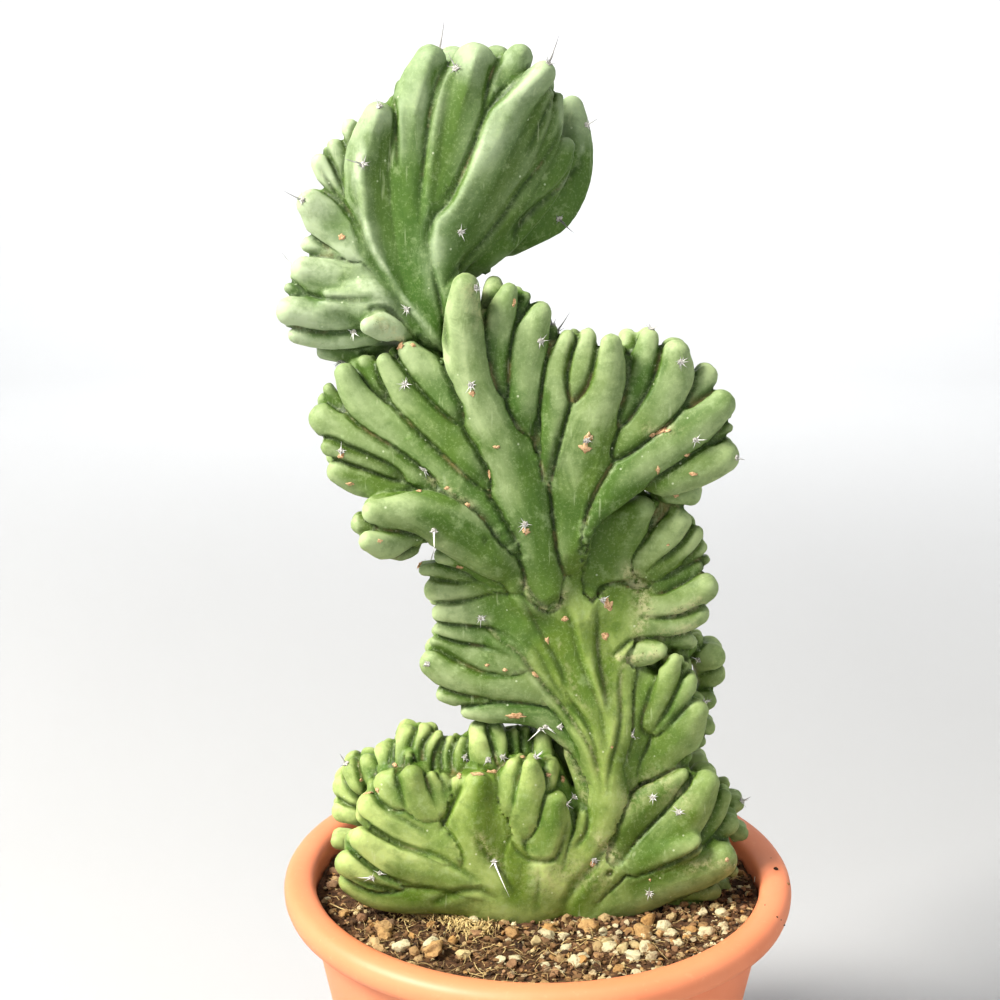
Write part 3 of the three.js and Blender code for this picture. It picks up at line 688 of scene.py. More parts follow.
# %% Grow the ribs
# All but the last two in radii of the rib
CREST_DEPTH = 3.6       # how thick a comb is at its crest
THICKEST = 5.5          # how thick a comb is at most where its ribs are small
LEAST_BACK = 1.2        # how far behind the front rib the back one is at least
CORE_BACK = 0.30        # how far the core stands back from the ribs
NEIGHBOUR = 2.6         # how near the next tip is if the two ribs are neighbours
CORE_END = 0.92         # where the core ends on its path
LONG_RIB = 3            # a rib with more marks than this has its back rib set sideways


def moved_back(rib, thickness):
    """The path of the rib on the back face, which dives forward at its root."""
    back = resampled(traced_path(rib, -ROOT_SINK))
    thickness = min(thickness, THICKEST * back[:, 3].max())
    t = np.linspace(0, 1, len(back))
    radius = back[:, 3]
    depth = thickness + (CREST_DEPTH * radius[-1] - thickness) * t ** 0.7
    back[:, 1] += np.maximum(depth - 2 * radius, LEAST_BACK * radius)
    return back


front_paths = []
comb_of_rib = []
back_paths = []
pieces = []
for name, (thickness, squareness, widening, ribs) in COMBS.items():
    paths = [resampled(traced_path(rib)) for rib in ribs]
    for place, path in enumerate(paths):
        straight_behind = moved_back(ribs[place], thickness * MM)
        next_place = min(place + 1, len(paths) - 1)
        beside = np.linalg.norm(paths[next_place][-1, :3] - path[-1, :3]) < NEIGHBOUR * path[-1, 3]
        back = straight_behind
        if beside and len(ribs[place][2]) > LONG_RIB:
            back = (back + moved_back(ribs[next_place], thickness * MM)) / 2
        pieces.append(grow(path, 0.0, squareness, widening))
        pieces.append(grow(back, 0.0, squareness, widening))
        core = (path + straight_behind) / 2
        gap = (straight_behind[:, 1] - path[:, 1])[2:].mean()
        inside = along_path(core, np.linspace(0, CORE_END, PATH_ROWS))
        pieces.append(grow(inside, max(0.0, gap - 2 * CORE_BACK * path[-1, 3])))
        front_paths.append(path)
        back_paths.append(back)
        comb_of_rib.append(name)
for front, back, marks in FLESH:
    path = resampled(traced_path((front, front, marks), FLESH_SINK))
    depth = (back - front) * MM - 2 * path[:, 3].mean()
    if depth < 0:
        path[:, 1] += depth / 2
    pieces.append(grow(path, max(0.0, depth)))
bpy.data.objects.remove(finger)
plant = joined(pieces, "crested_plant")
print("pieces melted together:", len(pieces), "triangles:", triangles(plant))

# %% Melt them into one skin
VOXEL = 0.8 * MM
apply_modifier(plant, "REMESH", mode="VOXEL", voxel_size=VOXEL, adaptivity=0.0)
apply_modifier(plant, "SMOOTH", factor=0.5, iterations=3)
print("after the remesh:", triangles(plant))

# %% [markdown]
# ## The creases
#
# Two ribs meet in a crease that is much finer than the voxels. For each point of the skin the
# nearest rib and the second nearest are found, in half widths of those ribs. Where the two are
# equally near is the crease, and the skin is drawn in there. Towards the roots the ribs of a
# living plant run into each other, so the valleys are filled there first, and the skin is
# averaged with its surroundings until it flows. The same numbers later paint shade into the
# creases and give each rib its own tone.

# %% Find the creases
# How deep the creases of a comb are, and up to which part of a rib, from its root, the ribs run
# into each other
CREASING = {
    "head": (0.35, 0.8), "head, left": (0.8, 0.65), "main fan, left": (1.0, 0.15),
    "main fan, right": (1.0, 0.12), "left comb": (0.9, 0.6), "right comb": (1.0, 0.5),
    "shoulder": (0.8, 0.45), "right base comb": (0.9, 0.5), "left base comb": (0.9, 0.85),
    "left base comb, behind its crest": (1.0, 0.1), "trunk": (0.6, 3.0),
}
FAR = 9.0               # farther than any rib that matters, in half widths
FAR_RADIUS = 5 * MM     # the half width of a rib where no rib is near
RIB_SAMPLES = 24
RIB_NEAR = 2.5          # how far a rib is looked for, in half widths
MELT_STEEPNESS = 1.4


def nearest_ribs(points, paths):
    """For each point: the way to the nearest rib and to the next, in half widths, which rib it is, that
    rib's half width, and how far along the rib the point is."""
    first, second = np.full(len(points), FAR), np.full(len(points), FAR)
    owner, along = np.zeros(len(points), dtype=int), np.ones(len(points))
    radius = np.full(len(points), FAR_RADIUS)
    for number, path in enumerate(paths):
        rows = along_path(path, np.linspace(0, 1, RIB_SAMPLES))
        margin = RIB_NEAR * rows[:, 3:]
        low, high = (rows[:, :3] - margin).min(axis=0), (rows[:, :3] + margin).max(axis=0)
        near = np.flatnonzero(((points > low) & (points < high)).all(axis=1))
        ways = np.linalg.norm(points[near, None, :] - rows[None, :, :3], axis=2) / rows[None, :, 3]
        best = ways.argmin(axis=1)
        way = ways[np.arange(len(near)), best]
        closer = way < first[near]
        second[near] = np.where(closer, first[near], np.minimum(second[near], way))
        first[near] = np.where(closer, way, first[near])
        owner[near] = np.where(closer, number, owner[near])
        radius[near] = np.where(closer, rows[best, 3], radius[near])
        along[near] = np.where(closer, best / (len(rows) - 1), along[near])
    return first, second, owner, radius, along


def creases(points):
    """For each point: how far the nearest crease is, in metres, how deep that crease is, how much the ribs
    run together, which rib it is, that rib's half width, and how far along the rib the point is."""
    front = nearest_ribs(points, front_paths)
    back = nearest_ribs(points, back_paths)
    on_front = front[0] < back[0]
    first, second, owner, radius, along = (np.where(on_front, a, b) for a, b in zip(front, back))
    deep, fade = np.array([CREASING[name] for name in comb_of_rib])[owner].T
    melt = np.clip(MELT_STEEPNESS * (1 - along / fade), 0, 1)
    return (second - first) * radius / 2, deep, melt, owner, radius, along


# %% Averages over the mesh
def edges_of(piece):
    return rows_of(piece.data.edges, "vertices", 2, np.int32).T


def spread(values, rounds):
    """Averages a value over the plant's mesh, a little farther with each round."""
    one, other = plant_edges
    count = len(values)
    neighbours = np.bincount(one, minlength=count) + np.bincount(other, minlength=count)
    for _ in range(rounds):
        total = np.bincount(one, values[other], count) + np.bincount(other, values[one], count)
        values = (values + total / neighbours) / 2
    return values


def spread_points(points, rounds):
    return np.stack([spread(column, rounds) for column in points.T], axis=1)


def filled(values, rounds):
    """Fills valleys: each point takes its neighbours' least value, round by round, then their greatest."""
    one, other = plant_edges
    for pick in (np.minimum, np.maximum):
        for _ in range(rounds):
            wider = values.copy()
            pick.at(wider, one, values[other])
            pick.at(wider, other, values[one])
            values = wider
    return values


plant_edges = edges_of(plant)
print("edges of the skin:", plant_edges.shape[1])

# %% Melt the roots together, then draw the skin in along the creases
CREASE_DEPTH = 0.5    # in half widths of the rib
CREASE_MOST = 1.8 * MM
CREASE_HALF_WIDTH = 0.65 * MM
# How wide a valley is filled, in rounds over the mesh, at the roots and between the ribs, and how often the
# roots are averaged
ROOT_FILL, VALLEY_FILL, MELT_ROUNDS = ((15, 7, 50))
VALLEY_SHARE = 0.8    # how much of a valley between wide ribs is filled, and narrow ribs keep theirs
NARROW_RIB, WIDE_RIB = 1.5, 4.0  # half widths in mm
EASE = 0.6            # how far the whole skin moves towards its average

body = points_of(plant)
away, deep, melt, owner, radius, along = creases(body)
turned_forward = -normals_of(plant)[:, 1]
widest = np.array([path[:, 3].max() for path in front_paths]) / MM
share = VALLEY_SHARE * np.clip((widest[owner] - NARROW_RIB) / (WIDE_RIB - NARROW_RIB), 0.1, 1)
for side in (1, -1):
    level = side * body[:, 1]
    facing = np.clip(2 * side * turned_forward, 0, 1)
    at_roots = melt * (filled(level, ROOT_FILL) - level)
    between_ribs = (1 - melt) * share * (filled(level, VALLEY_FILL) - level)
    body[:, 1] += side * spread(facing * (at_roots + between_ribs), 3)
body += EASE * (spread_points(body, 3) - body)
body += melt[:, None] * (spread_points(body, MELT_ROUNDS) - body)
move_points(plant, body)
most = np.minimum(CREASE_DEPTH * radius, CREASE_MOST)
depth = deep * (1 - melt) * most * np.exp(-(away / CREASE_HALF_WIDTH) ** 2)
move_points(plant, body - normals_of(plant) * depth[:, None])
print("deepest crease:", round(depth.max() / MM, 2), "mm")

# %% [markdown]
# ## Folds drawn over the picture
#
# Some folds lie on a rib or between two that have grown together, so no rule finds them. Each is
# a curve drawn over the picture: the skin sinks along the curve and swells beside it, on the
# right of the way the curve is drawn. Only what faces the camera is moved. At the end a Decimate
# modifier takes the triangles away that the shape doesn't need.

# %% The folds
# (depth, lift of the side to the right, half width, all in mm, [(x, y), ...] in pixels)
FOLDS = [
    (0.4, 1.5, 1.2, [(446, 360), (425, 333), (402, 306), (382, 277), (367, 248), (360, 222), (356, 195),
        (353, 172), (352, 152)]),
    (1.0, 1.3, 1.3, [(419, 222), (420, 195), (424, 160), (428, 125), (432, 100), (438, 80), (447, 60)]),
    (1.5, 1.1, 1.3, [(431, 270), (428, 240), (434, 217), (448, 202), (462, 175), (474, 145), (486, 112),
        (505, 93), (525, 73), (540, 60)]),
    (0.9, 0.6, 1.0, [(398, 168), (396, 140), (395, 115), (394, 96)]),
    (1.1, 0.6, 1.0, [(483, 114), (487, 92), (492, 72), (501, 55)]),
    (1.1, 0.5, 1.0, [(526, 156), (538, 128), (549, 106), (558, 86)]),
    (1.6, 0.6, 1.3, [(443, 290), (456, 270), (475, 250), (498, 222), (520, 190), (540, 165), (556, 140),
        (563, 122)]),
    (2.6, 1.6, 1.6, [(582, 158), (560, 187), (538, 206), (518, 226), (513, 246)]),
    (1.3, 0.2, 1.1, [(448, 356), (443, 318), (438, 292), (431, 266)]),
    (1.0, 0.5, 1.0, [(362, 231), (348, 210), (333, 190), (318, 164)]),
    (1.3, 0.7, 0.9, [(484, 622), (498, 638), (520, 655), (533, 672), (546, 688), (562, 706), (575, 725),
        (590, 748), (598, 770), (601, 796)]),
    (0.7, 0.9, 1.2, [(606, 752), (603, 722), (595, 697), (585, 675), (576, 648), (571, 622), (562, 604)]),
    (0.6, 0.9, 1.2, [(592, 728), (578, 714), (564, 700), (552, 680), (540, 655), (527, 640)]),
    (0.9, 0.3, 1.0, [(560, 684), (572, 702), (585, 722), (594, 745), (599, 770)]),
    (0.7, 0.4, 1.0, [(516, 583), (530, 612), (545, 640), (560, 666), (566, 688)]),
    (0.8, 0.5, 0.9, [(622, 666), (620, 690), (621, 715), (617, 740), (611, 765), (606, 798)]),
    (0.8, 0.8, 1.2, [(598, 600), (597, 630), (599, 660), (604, 690), (608, 715)]),
    (1.2, 0.6, 0.9, [(612, 658), (622, 648), (632, 640), (648, 640)]),
    (0.8, 0.4, 0.9, [(520, 572), (533, 595), (547, 607), (563, 594)]),
    (1.2, 0.9, 1.0, [(356, 822), (370, 830), (385, 838), (400, 845), (420, 851), (440, 857), (458, 868),
        (480, 884)]),
    (1.1, 0.4, 0.8, [(343, 838), (352, 850), (362, 860), (378, 872), (392, 880), (412, 885)]),
    (0.9, 0.3, 0.8, [(350, 878), (366, 884), (385, 889), (404, 893)]),
    (0.5, 0.3, 0.9, [(380, 812), (400, 818), (415, 826), (428, 836)]),
    (0.8, 0.3, 1.3, [(476, 838), (485, 852), (495, 864), (506, 878), (516, 897)]),
    (0.35, 0.1, 1.0, [(538, 862), (539, 885), (536, 908)]),
    (0.4, 0.1, 1.4, [(522, 862), (520, 880), (516, 900)]),
    (0.9, 0.4, 1.0, [(568, 822), (561, 846), (553, 860), (530, 860), (515, 848), (508, 832)]),
    (1.6, 0.3, 2.2, [(562, 908), (575, 888), (592, 868), (606, 850), (618, 836)]),
    (1.2, 0.5, 0.9, [(578, 796), (587, 812), (586, 832), (575, 848)]),
    (1.1, 0.5, 0.9, [(440, 832), (448, 815), (455, 800), (462, 785)]),
    (0.9, 0.2, 1.4, [(430, 905), (455, 893), (480, 890), (500, 900)]),
]
CURVE_ROWS = 60


def picture_of(points):
    """Where points are seen in the picture, and how many pixels a millimetre has there."""
    seen = (points - np.array(CAMERA_PLACE)) @ np.array(camera_turn)
    focal = PICTURE * LENS_MM / SENSOR_MM / -seen[:, 2]
    return np.stack([PICTURE / 2 + focal * seen[:, 0], PICTURE / 2 - focal * seen[:, 1]], axis=1), focal * MM


def facing_camera(points, normals):
    """1 where a point faces the camera, and 0 where it is turned away."""
    towards = np.array(CAMERA_PLACE) - points
    return np.clip((towards * normals).sum(axis=1) / np.linalg.norm(towards, axis=1) * 3, 0, 1)


def near_curve(pixels, marks, margin):
    """The points seen near a curve, and for each how far along the curve it is (0 to 1) and its way off,
    across and along, in pixels."""
    curve = along_path(np.array(marks, dtype=float), np.linspace(0, 1, CURVE_ROWS))
    heading = np.gradient(curve, axis=0)
    heading /= np.linalg.norm(heading, axis=1, keepdims=True)
    inside = (pixels > curve.min(axis=0) - margin) & (pixels < curve.max(axis=0) + margin)
    near = np.flatnonzero(inside.all(axis=1))
    offsets = pixels[near, None] - curve[None]
    nearest = (offsets ** 2).sum(axis=2).argmin(axis=1)
    dx, dy = offsets[np.arange(len(near)), nearest].T
    ahead = heading[nearest]
    across, beyond = ahead[:, 0] * dy - ahead[:, 1] * dx, ahead[:, 0] * dx + ahead[:, 1] * dy
    return near, nearest / (CURVE_ROWS - 1), across, beyond


# %% Fold the skin, and thin its mesh
FOLD_REACH = 14         # how far a fold is felt, in pixels for each mm of its half width
# The dark line along a fold is painted shade.
FOLD_LINE = 0.7         # half the width of the dark line in a fold, in mm
SKIN_TRIANGLES = 190000


def folded(points, normals):
    """How far the folds move each point along its normal, in metres, and how near it is to a fold's line."""
    pixels, scale = picture_of(points)
    facing = facing_camera(points, normals)
    move, line = np.zeros(len(points)), np.zeros(len(points))
    for depth, lift, width, marks in FOLDS:
        near, place, beside, beyond = near_curve(pixels, marks, FOLD_REACH * width)
        beside, beyond = beside / scale[near], beyond / scale[near]
        strength = facing[near] * np.sin(math.pi * place) ** 0.5 * np.exp(-beyond ** 2)
        groove = np.exp(-(beside / width) ** 2)
        ridge = np.exp(-((beside - 2.2 * width) / (1.5 * width)) ** 2)
        move[near] += strength * (lift * ridge - depth * groove) * MM
        line[near] = np.maximum(line[near], strength * min(1.0, depth) * np.exp(-(beside / FOLD_LINE) ** 2))
    return move, line


body = points_of(plant)
normals = normals_of(plant)
move, line = folded(body, normals)
move_points(plant, body + normals * spread(move, 1)[:, None])
apply_modifier(plant, "DECIMATE", ratio=min(1.0, SKIN_TRIANGLES / triangles(plant)))
plant_edges = edges_of(plant)
choose(plant)
bpy.ops.object.shade_smooth()
print("skin triangles:", triangles(plant))

# %% [markdown]
# ## What each spot of the skin knows
#
# The colour of the skin follows its shape and its age, so the mesh carries eight numbers for each
# of its points. The relief says how far the point stands out of its surroundings, the crease how
# near it is to a crease or a fold, and both also place painted shade in the hollows and creases.
# Run and aside are its place along the rib and across it, for the fine streaks. The age tells the
# yellow trunk and base from the grey-green head, and the tone is a chance number of each rib,
# because no two ribs are the same green. Wax and scurf are laid on with broad strokes over the
# picture: the wax strokes mark where the bloom is rubbed off or thick, and also paint shade where
# the plant lies in shadow and light where it is lit. The scurf strokes mark where the skin has
# gone corky.

# %% What the combs and the picture tell
# How old the ribs of each comb are, and how thickly waxed at the root and at the tip; paler tips are partly a
# painted light from above
LOOKS = {
    "head": (0.1, 0.5, 0.7), "head, left": (0.15, 1.1, 1.2), "main fan, left": (0.38, 0.4, 0.8),
    "main fan, right": (0.4, 0.45, 0.85), "left comb": (0.4, 0.65, 0.95), "right comb": (0.45, 0.7, 1.0),
    "shoulder": (0.6, 0.45, 0.75), "right base comb": (0.6, 0.55, 0.6), "left base comb": (0.88, 1.15, 0.8),
    "left base comb, behind its crest": (0.8, 0.6, 1.0), "trunk": (0.95, 0.8, 0.8),
}
# Where the wax is thinner or thicker in the picture, partly painted shade (below zero) where the plant lies
# in shadow and painted light (above zero) where it is lit: (how much, half width in pixels, [(x, y), ...])
WAX_AND_SHADE_STROKES = [
    (-0.4, 12, [(385, 175), (390, 215), (396, 255)]),
    (-0.4, 12, [(416, 130), (412, 185), (415, 240)]),
    (-0.7, 13, [(462, 90), (448, 140), (438, 180)]),
    (0.6, 4, [(441, 66), (427, 105), (422, 150), (417, 200)]),
    (-0.5, 12, [(535, 118), (508, 165), (482, 208), (464, 242), (450, 272)]),
    (0.35, 8, [(540, 72), (508, 104), (482, 150), (462, 190), (438, 225), (434, 262)]),
    (1.3, 2.2, [(582, 146), (576, 165), (560, 187), (538, 206), (520, 226)]),
    (-0.5, 12, [(562, 162), (532, 197), (503, 235), (482, 262)]),
    (-1.2, 18, [(582, 165), (560, 215), (525, 240)]),
    (0.8, 14, [(352, 250), (372, 285), (396, 316)]),
    (-0.7, 8, [(404, 262), (424, 300), (440, 338)]),
    (0.8, 5, [(362, 150), (354, 190), (369, 242), (388, 272), (403, 298), (426, 329), (447, 362)]),
    (-0.7, 12, [(330, 226), (345, 240), (360, 250)]),
    (-0.5, 5, [(320, 288), (350, 291), (385, 297)]),
    (-0.6, 8, [(412, 385), (432, 408), (452, 440)]),
    (-0.7, 10, [(442, 452), (470, 475), (490, 500), (505, 526)]),
    (-0.7, 8, [(345, 474), (380, 483), (420, 491), (455, 502)]),
    (-0.6, 10, [(450, 530), (482, 548), (510, 576)]),
    (-0.7, 13, [(425, 516), (455, 524), (482, 542)]),
    (-0.8, 13, [(522, 460), (536, 510), (546, 560), (550, 592)]),
    (0.4, 6, [(462, 330), (470, 400), (492, 460), (515, 530)]),
    (-0.7, 9, [(503, 350), (510, 395), (520, 430)]),
    (-0.7, 9, [(546, 395), (541, 445), (541, 480)]),
    (-0.7, 10, [(596, 440), (588, 480), (580, 530), (576, 572)]),
    (-0.6, 8, [(622, 415), (606, 455), (592, 500), (586, 545)]),
    (-0.6, 9, [(642, 440), (612, 475), (598, 510)]),
    (-0.6, 10, [(664, 482), (632, 492), (606, 520)]),
    (-0.9, 18, [(628, 515), (608, 548), (592, 582)]),
    (-0.7, 12, [(500, 602), (520, 618), (540, 642), (556, 668)]),
    (-0.4, 8, [(450, 627), (490, 642), (522, 658)]),
    (-0.9, 13, [(484, 786), (480, 815), (488, 850)]),
    (-0.8, 11, [(556, 806), (548, 842)]),
    (-0.7, 8, [(392, 868), (428, 876), (462, 882)]),
    (-0.5, 10, [(400, 795), (420, 806), (432, 815)]),
    (-0.9, 10, [(512, 868), (512, 898)]),
    (-0.8, 10, [(594, 878), (576, 908)]),
    (-0.6, 8, [(664, 790), (642, 815), (622, 838)]),
    (-0.6, 9, [(694, 815), (668, 840), (642, 862)]),
    (-0.5, 7, [(704, 862), (662, 877), (632, 892)]),
    (-0.5, 10, [(646, 690), (636, 730), (622, 770)]),
    (-0.5, 10, [(682, 735), (660, 750)]),
    (0.5, 10, [(540, 870), (560, 885)]),
    (0.8, 14, [(350, 815), (380, 840), (410, 850)]),
    (0.5, 12, [(352, 862), (385, 870), (415, 880)]),
    (-0.6, 12, [(726, 398), (702, 414), (676, 434)]),
]
# Where the skin is dry, pale and corky, in the same way
SCURF = [
    (1.0, 8, [(628, 572), (640, 590), (645, 610), (640, 632)]),
    (0.9, 5, [(698, 600), (688, 608), (672, 612)]),
    (0.9, 5, [(690, 626), (678, 632), (660, 634)]),
    (1.0, 6, [(655, 652), (640, 658), (618, 658)]),
    (0.9, 7, [(380, 322), (390, 330), (400, 336)]),
    (1.0, 6, [(598, 838), (606, 848), (614, 858)]),
    (0.6, 2, [(484, 622), (498, 638), (520, 655), (533, 672), (546, 688), (562, 706), (575, 725),
        (590, 748), (598, 770)]),
    (0.9, 3, [(522, 582), (535, 602), (548, 610), (560, 604), (566, 592)]),
    (0.5, 3, [(556, 640), (566, 660), (575, 690), (590, 715)]),
    (0.4, 3, [(622, 666), (620, 690), (621, 715)]),
    (0.8, 7, [(478, 838), (488, 850), (496, 862)]),
    (0.7, 4, [(430, 480), (450, 490), (470, 505)]),
    (0.3, 6, [(600, 640), (606, 670), (610, 700)]),
    (0.8, 6, [(690, 868), (720, 862), (732, 870)]),
    (0.5, 14, [(630, 800), (660, 780), (680, 800)]),
    (0.5, 16, [(540, 880), (570, 870), (600, 880)]),
    (0.7, 5, [(645, 430), (660, 432), (675, 430)]),
    (0.6, 9, [(470, 290), (482, 300), (480, 320)]),
    (0.6, 5, [(560, 744), (577, 770), (585, 800)]),
]


def shaded(points, normals, strokes):
    """How much of something the picture shows on each point, from a list of strokes."""
    pixels, scale = picture_of(points)
    facing = facing_camera(points, normals)
    total = np.zeros(len(points))
    for amount, half_width, marks in strokes:
        near, place, beside, beyond = near_curve(pixels, marks, 2.5 * half_width)
        total[near] += amount * facing[near] * np.exp(-(beside ** 2 + beyond ** 2) / half_width ** 2)
    return total


# %% Write the eight numbers on the skin
RELIEF_ROUNDS = 60      # how broad the surroundings are that the relief is measured from
# The dark line along a crease is painted shade.
CREASE_LINE = 0.8 * MM  # half the width of the dark line in a crease

skin_points = points_of(plant)
normals = normals_of(plant)
relief = ((skin_points - spread_points(skin_points, RELIEF_ROUNDS)) * normals).sum(axis=1) / MM
away, deep, melt, owner, radius, along = creases(skin_points)
lengths = np.array([length_of(path) for path in front_paths])
ages, root_wax_and_light, tip_wax_and_light = np.array([LOOKS[name] for name in comb_of_rib]).T
tones = np.array([dice.random() for path in front_paths])
move, line = folded(skin_points, normals)
# Wax from root to tip, where paler tips are partly a painted light from above
wax_and_light_here = spread(root_wax_and_light[owner] + (tip_wax_and_light - root_wax_and_light)[owner] * along, 12)
# The crease number places painted shade and corky lines along the creases and folds.
paint(plant, "crease", np.maximum(line, deep * (1 - melt) * np.exp(-(away / CREASE_LINE) ** 2)))
# The wax number carries the real wax and also the painted shade and light of the strokes.
paint(plant, "wax", wax_and_light_here + shaded(skin_points, normals, WAX_AND_SHADE_STROKES))
paint(plant, "scurf", shaded(skin_points, normals, SCURF))
paint(plant, "run", spread(along * lengths[owner], 2))
paint(plant, "aside", spread(away, 1))
paint(plant, "relief", relief)
paint(plant, "age", spread(ages[owner], 40))
paint(plant, "tone", spread(tones[owner], 2))
print("relief from", round(relief.min(), 1), "to", round(relief.max(), 1), "mm")

# %% [markdown]
# ## The skin's material
#
# The skin is a green flesh under a thin blue-grey wax. The wax is rubbed thin in some places and
# is thickest on the ridges, so they look pale and dull, while the grooves stay dark and
# saturated. Tiny dry specks and scratches are all over it. Green, wax, groove, cork and specks are
# laid over each other in the order in which they lie on the plant.

# %% Waxy green skin: the wax scatters light, so it looks pale, soft and only a little glossy
skin, shader = new_material("waxy green cactus skin")
place = add_node(skin, "TexCoord", {}, "Object")
age, height, crease, wax_and_shade_share, scurf, run, aside, tone = (
    add_node(skin, "Attribute", {}, "Fac", attribute_name=name)
    for name in ("age", "relief", "crease", "wax", "scurf", "run", "aside", "tone"))
# Noise by its number of spots in a metre, so 45 gives patches of about 22 mm: (spots, detail, roughness)
SKIN_NOISE = {
    "clouds": (16, 3, 0.55), "patches": (45, 5, 0.55), "cork": (70, 4, 0.55), "mottle": (170, 4, 0.65),
    "grain": (350, 4, 0.55), "flakes": (420, 4, 0.7), "pits": (650, 2, 0.6), "fine": (900, 3, 0.7),
}
noises = {}
for name, (spots, detail, rough) in SKIN_NOISE.items():
    noises[name] = add_node(skin, "TexNoise",
                            {"Vector": place, "Scale": spots, "Detail": detail, "Roughness": rough})

# Streaks of about 1.4 mm across a rib and ten times that along it, with other streaks on each rib
run_slow = add_node(skin, "Math", {0: run, 1: 0.10}, operation="MULTIPLY")
tone_shift = add_node(skin, "Math", {0: tone, 1: 0.2}, operation="MULTIPLY")
rib_place = add_node(skin, "CombineXYZ", {"X": run_slow, "Y": aside, "Z": tone_shift})
streaks = add_node(skin, "TexNoise", {"Vector": rib_place, "Scale": 700, "Detail": 3, "Roughness": 0.55})

# The wax's cover: patches, streaks, and more of it on the ridges, which is partly a painted highlight. Then
# what is very thick goes over all
cover = 0.0
for driver, start, full, least, most in (
        (noises["patches"], 0.34, 0.66, 0.0, 0.65), (streaks, 0.35, 0.65, -0.06, 0.08),
        (height, -0.5, 1.3, -0.4, 0.35)):
    part = add_node(skin, "MapRange", {"Value": driver, "From Min": start, "From Max": full,
                                       "To Min": least, "To Max": most})
    cover = add_node(skin, "Math", {0: cover, 1: part}, operation="ADD")
ridge = add_node(skin, "MapRange", {"Value": cover, "From Max": 0.9})
thick = add_node(skin, "MapRange", {"Value": wax_and_shade_share, "From Min": 1.0, "From Max": 2.0, "To Max": 0.6})
bloom_and_painted_light = add_node(skin, "Math", {0: ridge, 1: wax_and_shade_share, 2: thick}, operation="MULTIPLY_ADD")

# Cork in spots along the creases, and flakes and pits where the strokes of scurf lie
crease_core = add_node(skin, "Math", {0: crease, 1: 3.0}, operation="POWER")
cork_spots, flake_spots, pit_spots = (
    add_node(skin, "MapRange", {"Value": noises[name], "From Min": start, "From Max": full})
    for name, start, full in (("cork", 0.54, 0.62), ("flakes", 0.42, 0.6), ("pits", 0.62, 0.68)))
cork_line, flakes, pits = (
    add_node(skin, "Math", {0: where, 1: spots}, operation="MULTIPLY")
    for where, spots in ((crease_core, cork_spots), (scurf, flake_spots), (scurf, pit_spots)))
drawn_out = add_node(skin, "Mapping", {"Vector": place, "Rotation": (0, 0.7, 0), "Scale": (1.0, 1.0, 0.12)})
scratches = add_node(skin, "TexNoise", {"Vector": drawn_out, "Scale": 420, "Detail": 2, "Roughness": 0.55})
specks = add_node(skin, "TexVoronoi", {"Vector": place, "Scale": 150})

# %% Lay the skin's colours over each other
flesh = layered(skin, "#4F652D", [
    (age, 0.0, 1.0, 1.0, "#667D27"),
    (tone, 0.0, 1.0, 0.5, "#4B7029"),
    (noises["clouds"], 0.45, 0.62, 0.55, "#35561C"),
    (streaks, 0.5, 0.75, 0.2, "#7F9A4E"),
])
wax = layered(skin, "#A9B79A", [(age, 0.0, 1.0, 1.0, "#AFBE70")])
groove_shade_green = layered(skin, "#16260F", [(age, 0.0, 1.0, 1.0, "#2C3A10")])
colour = layered(skin, flesh, [
    # The bloom: real wax, with a painted highlight on the ridges and painted shade and light from the wax
    # strokes
    (bloom_and_painted_light, 0.0, 1.0, 1.0, wax),
    # Painted shade: dark green in the hollows and along the creases and folds, partly also the bare flesh
    # there
    (height, -0.4, -2.6, 0.55, groove_shade_green),
    (crease, 0.0, 1.0, 0.8, groove_shade_green),
    (cork_line, 0.0, 1.0, 0.5, "#9A8658"),
    (flakes, 0.0, 2.0, 1.5, "#BDB98F"),
    (noises["mottle"], 0.5, 0.68, 0.4, "#47622A"),
    (noises["mottle"], 0.44, 0.3, 0.3, "#A9BA8A"),
    (pits, 0.0, 2.0, 1.4, "#4B4A24"),
    (scratches, 0.68, 0.76, 0.2, "#D5DDB8"),
    (noises["fine"], 0.52, 0.7, 0.22, "#AEBD8C"),
    (specks, 0.075, 0.045, 0.45, "#D5DCC0"),
])
gloss = add_node(skin, "MapRange", {"Value": ridge, "To Min": 0.48, "To Max": 0.65})
rough_skin = add_node(skin, "Math", {0: flakes, 1: 1.5, 2: noises["grain"]}, operation="MULTIPLY_ADD")
bump = add_node(skin, "Bump", {"Height": rough_skin, "Strength": 0.18, "Distance": 1 * MM})
set_inputs(skin, shader, {"Base Color": colour, "Roughness": gloss, "Specular IOR Level": 0.3,
                          "Normal": bump})
plant.data.materials.append(skin)
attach(plant, "root")
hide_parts("cactus")
print("skin nodes:", len(skin.node_tree.nodes))

# %% [markdown]
# ## Areoles, spines and scars
#
# An areole is a small cushion of grey felt on the ridge of a rib, and its spines stand out of it
# like a star. The plant has few, and many have dropped off and left a corky, orange-brown scar.
# Those that the picture shows are written down by their pixel, and the line of sight through the
# pixel meets the skin where they sit. On the back they follow the ribs, by a rule.

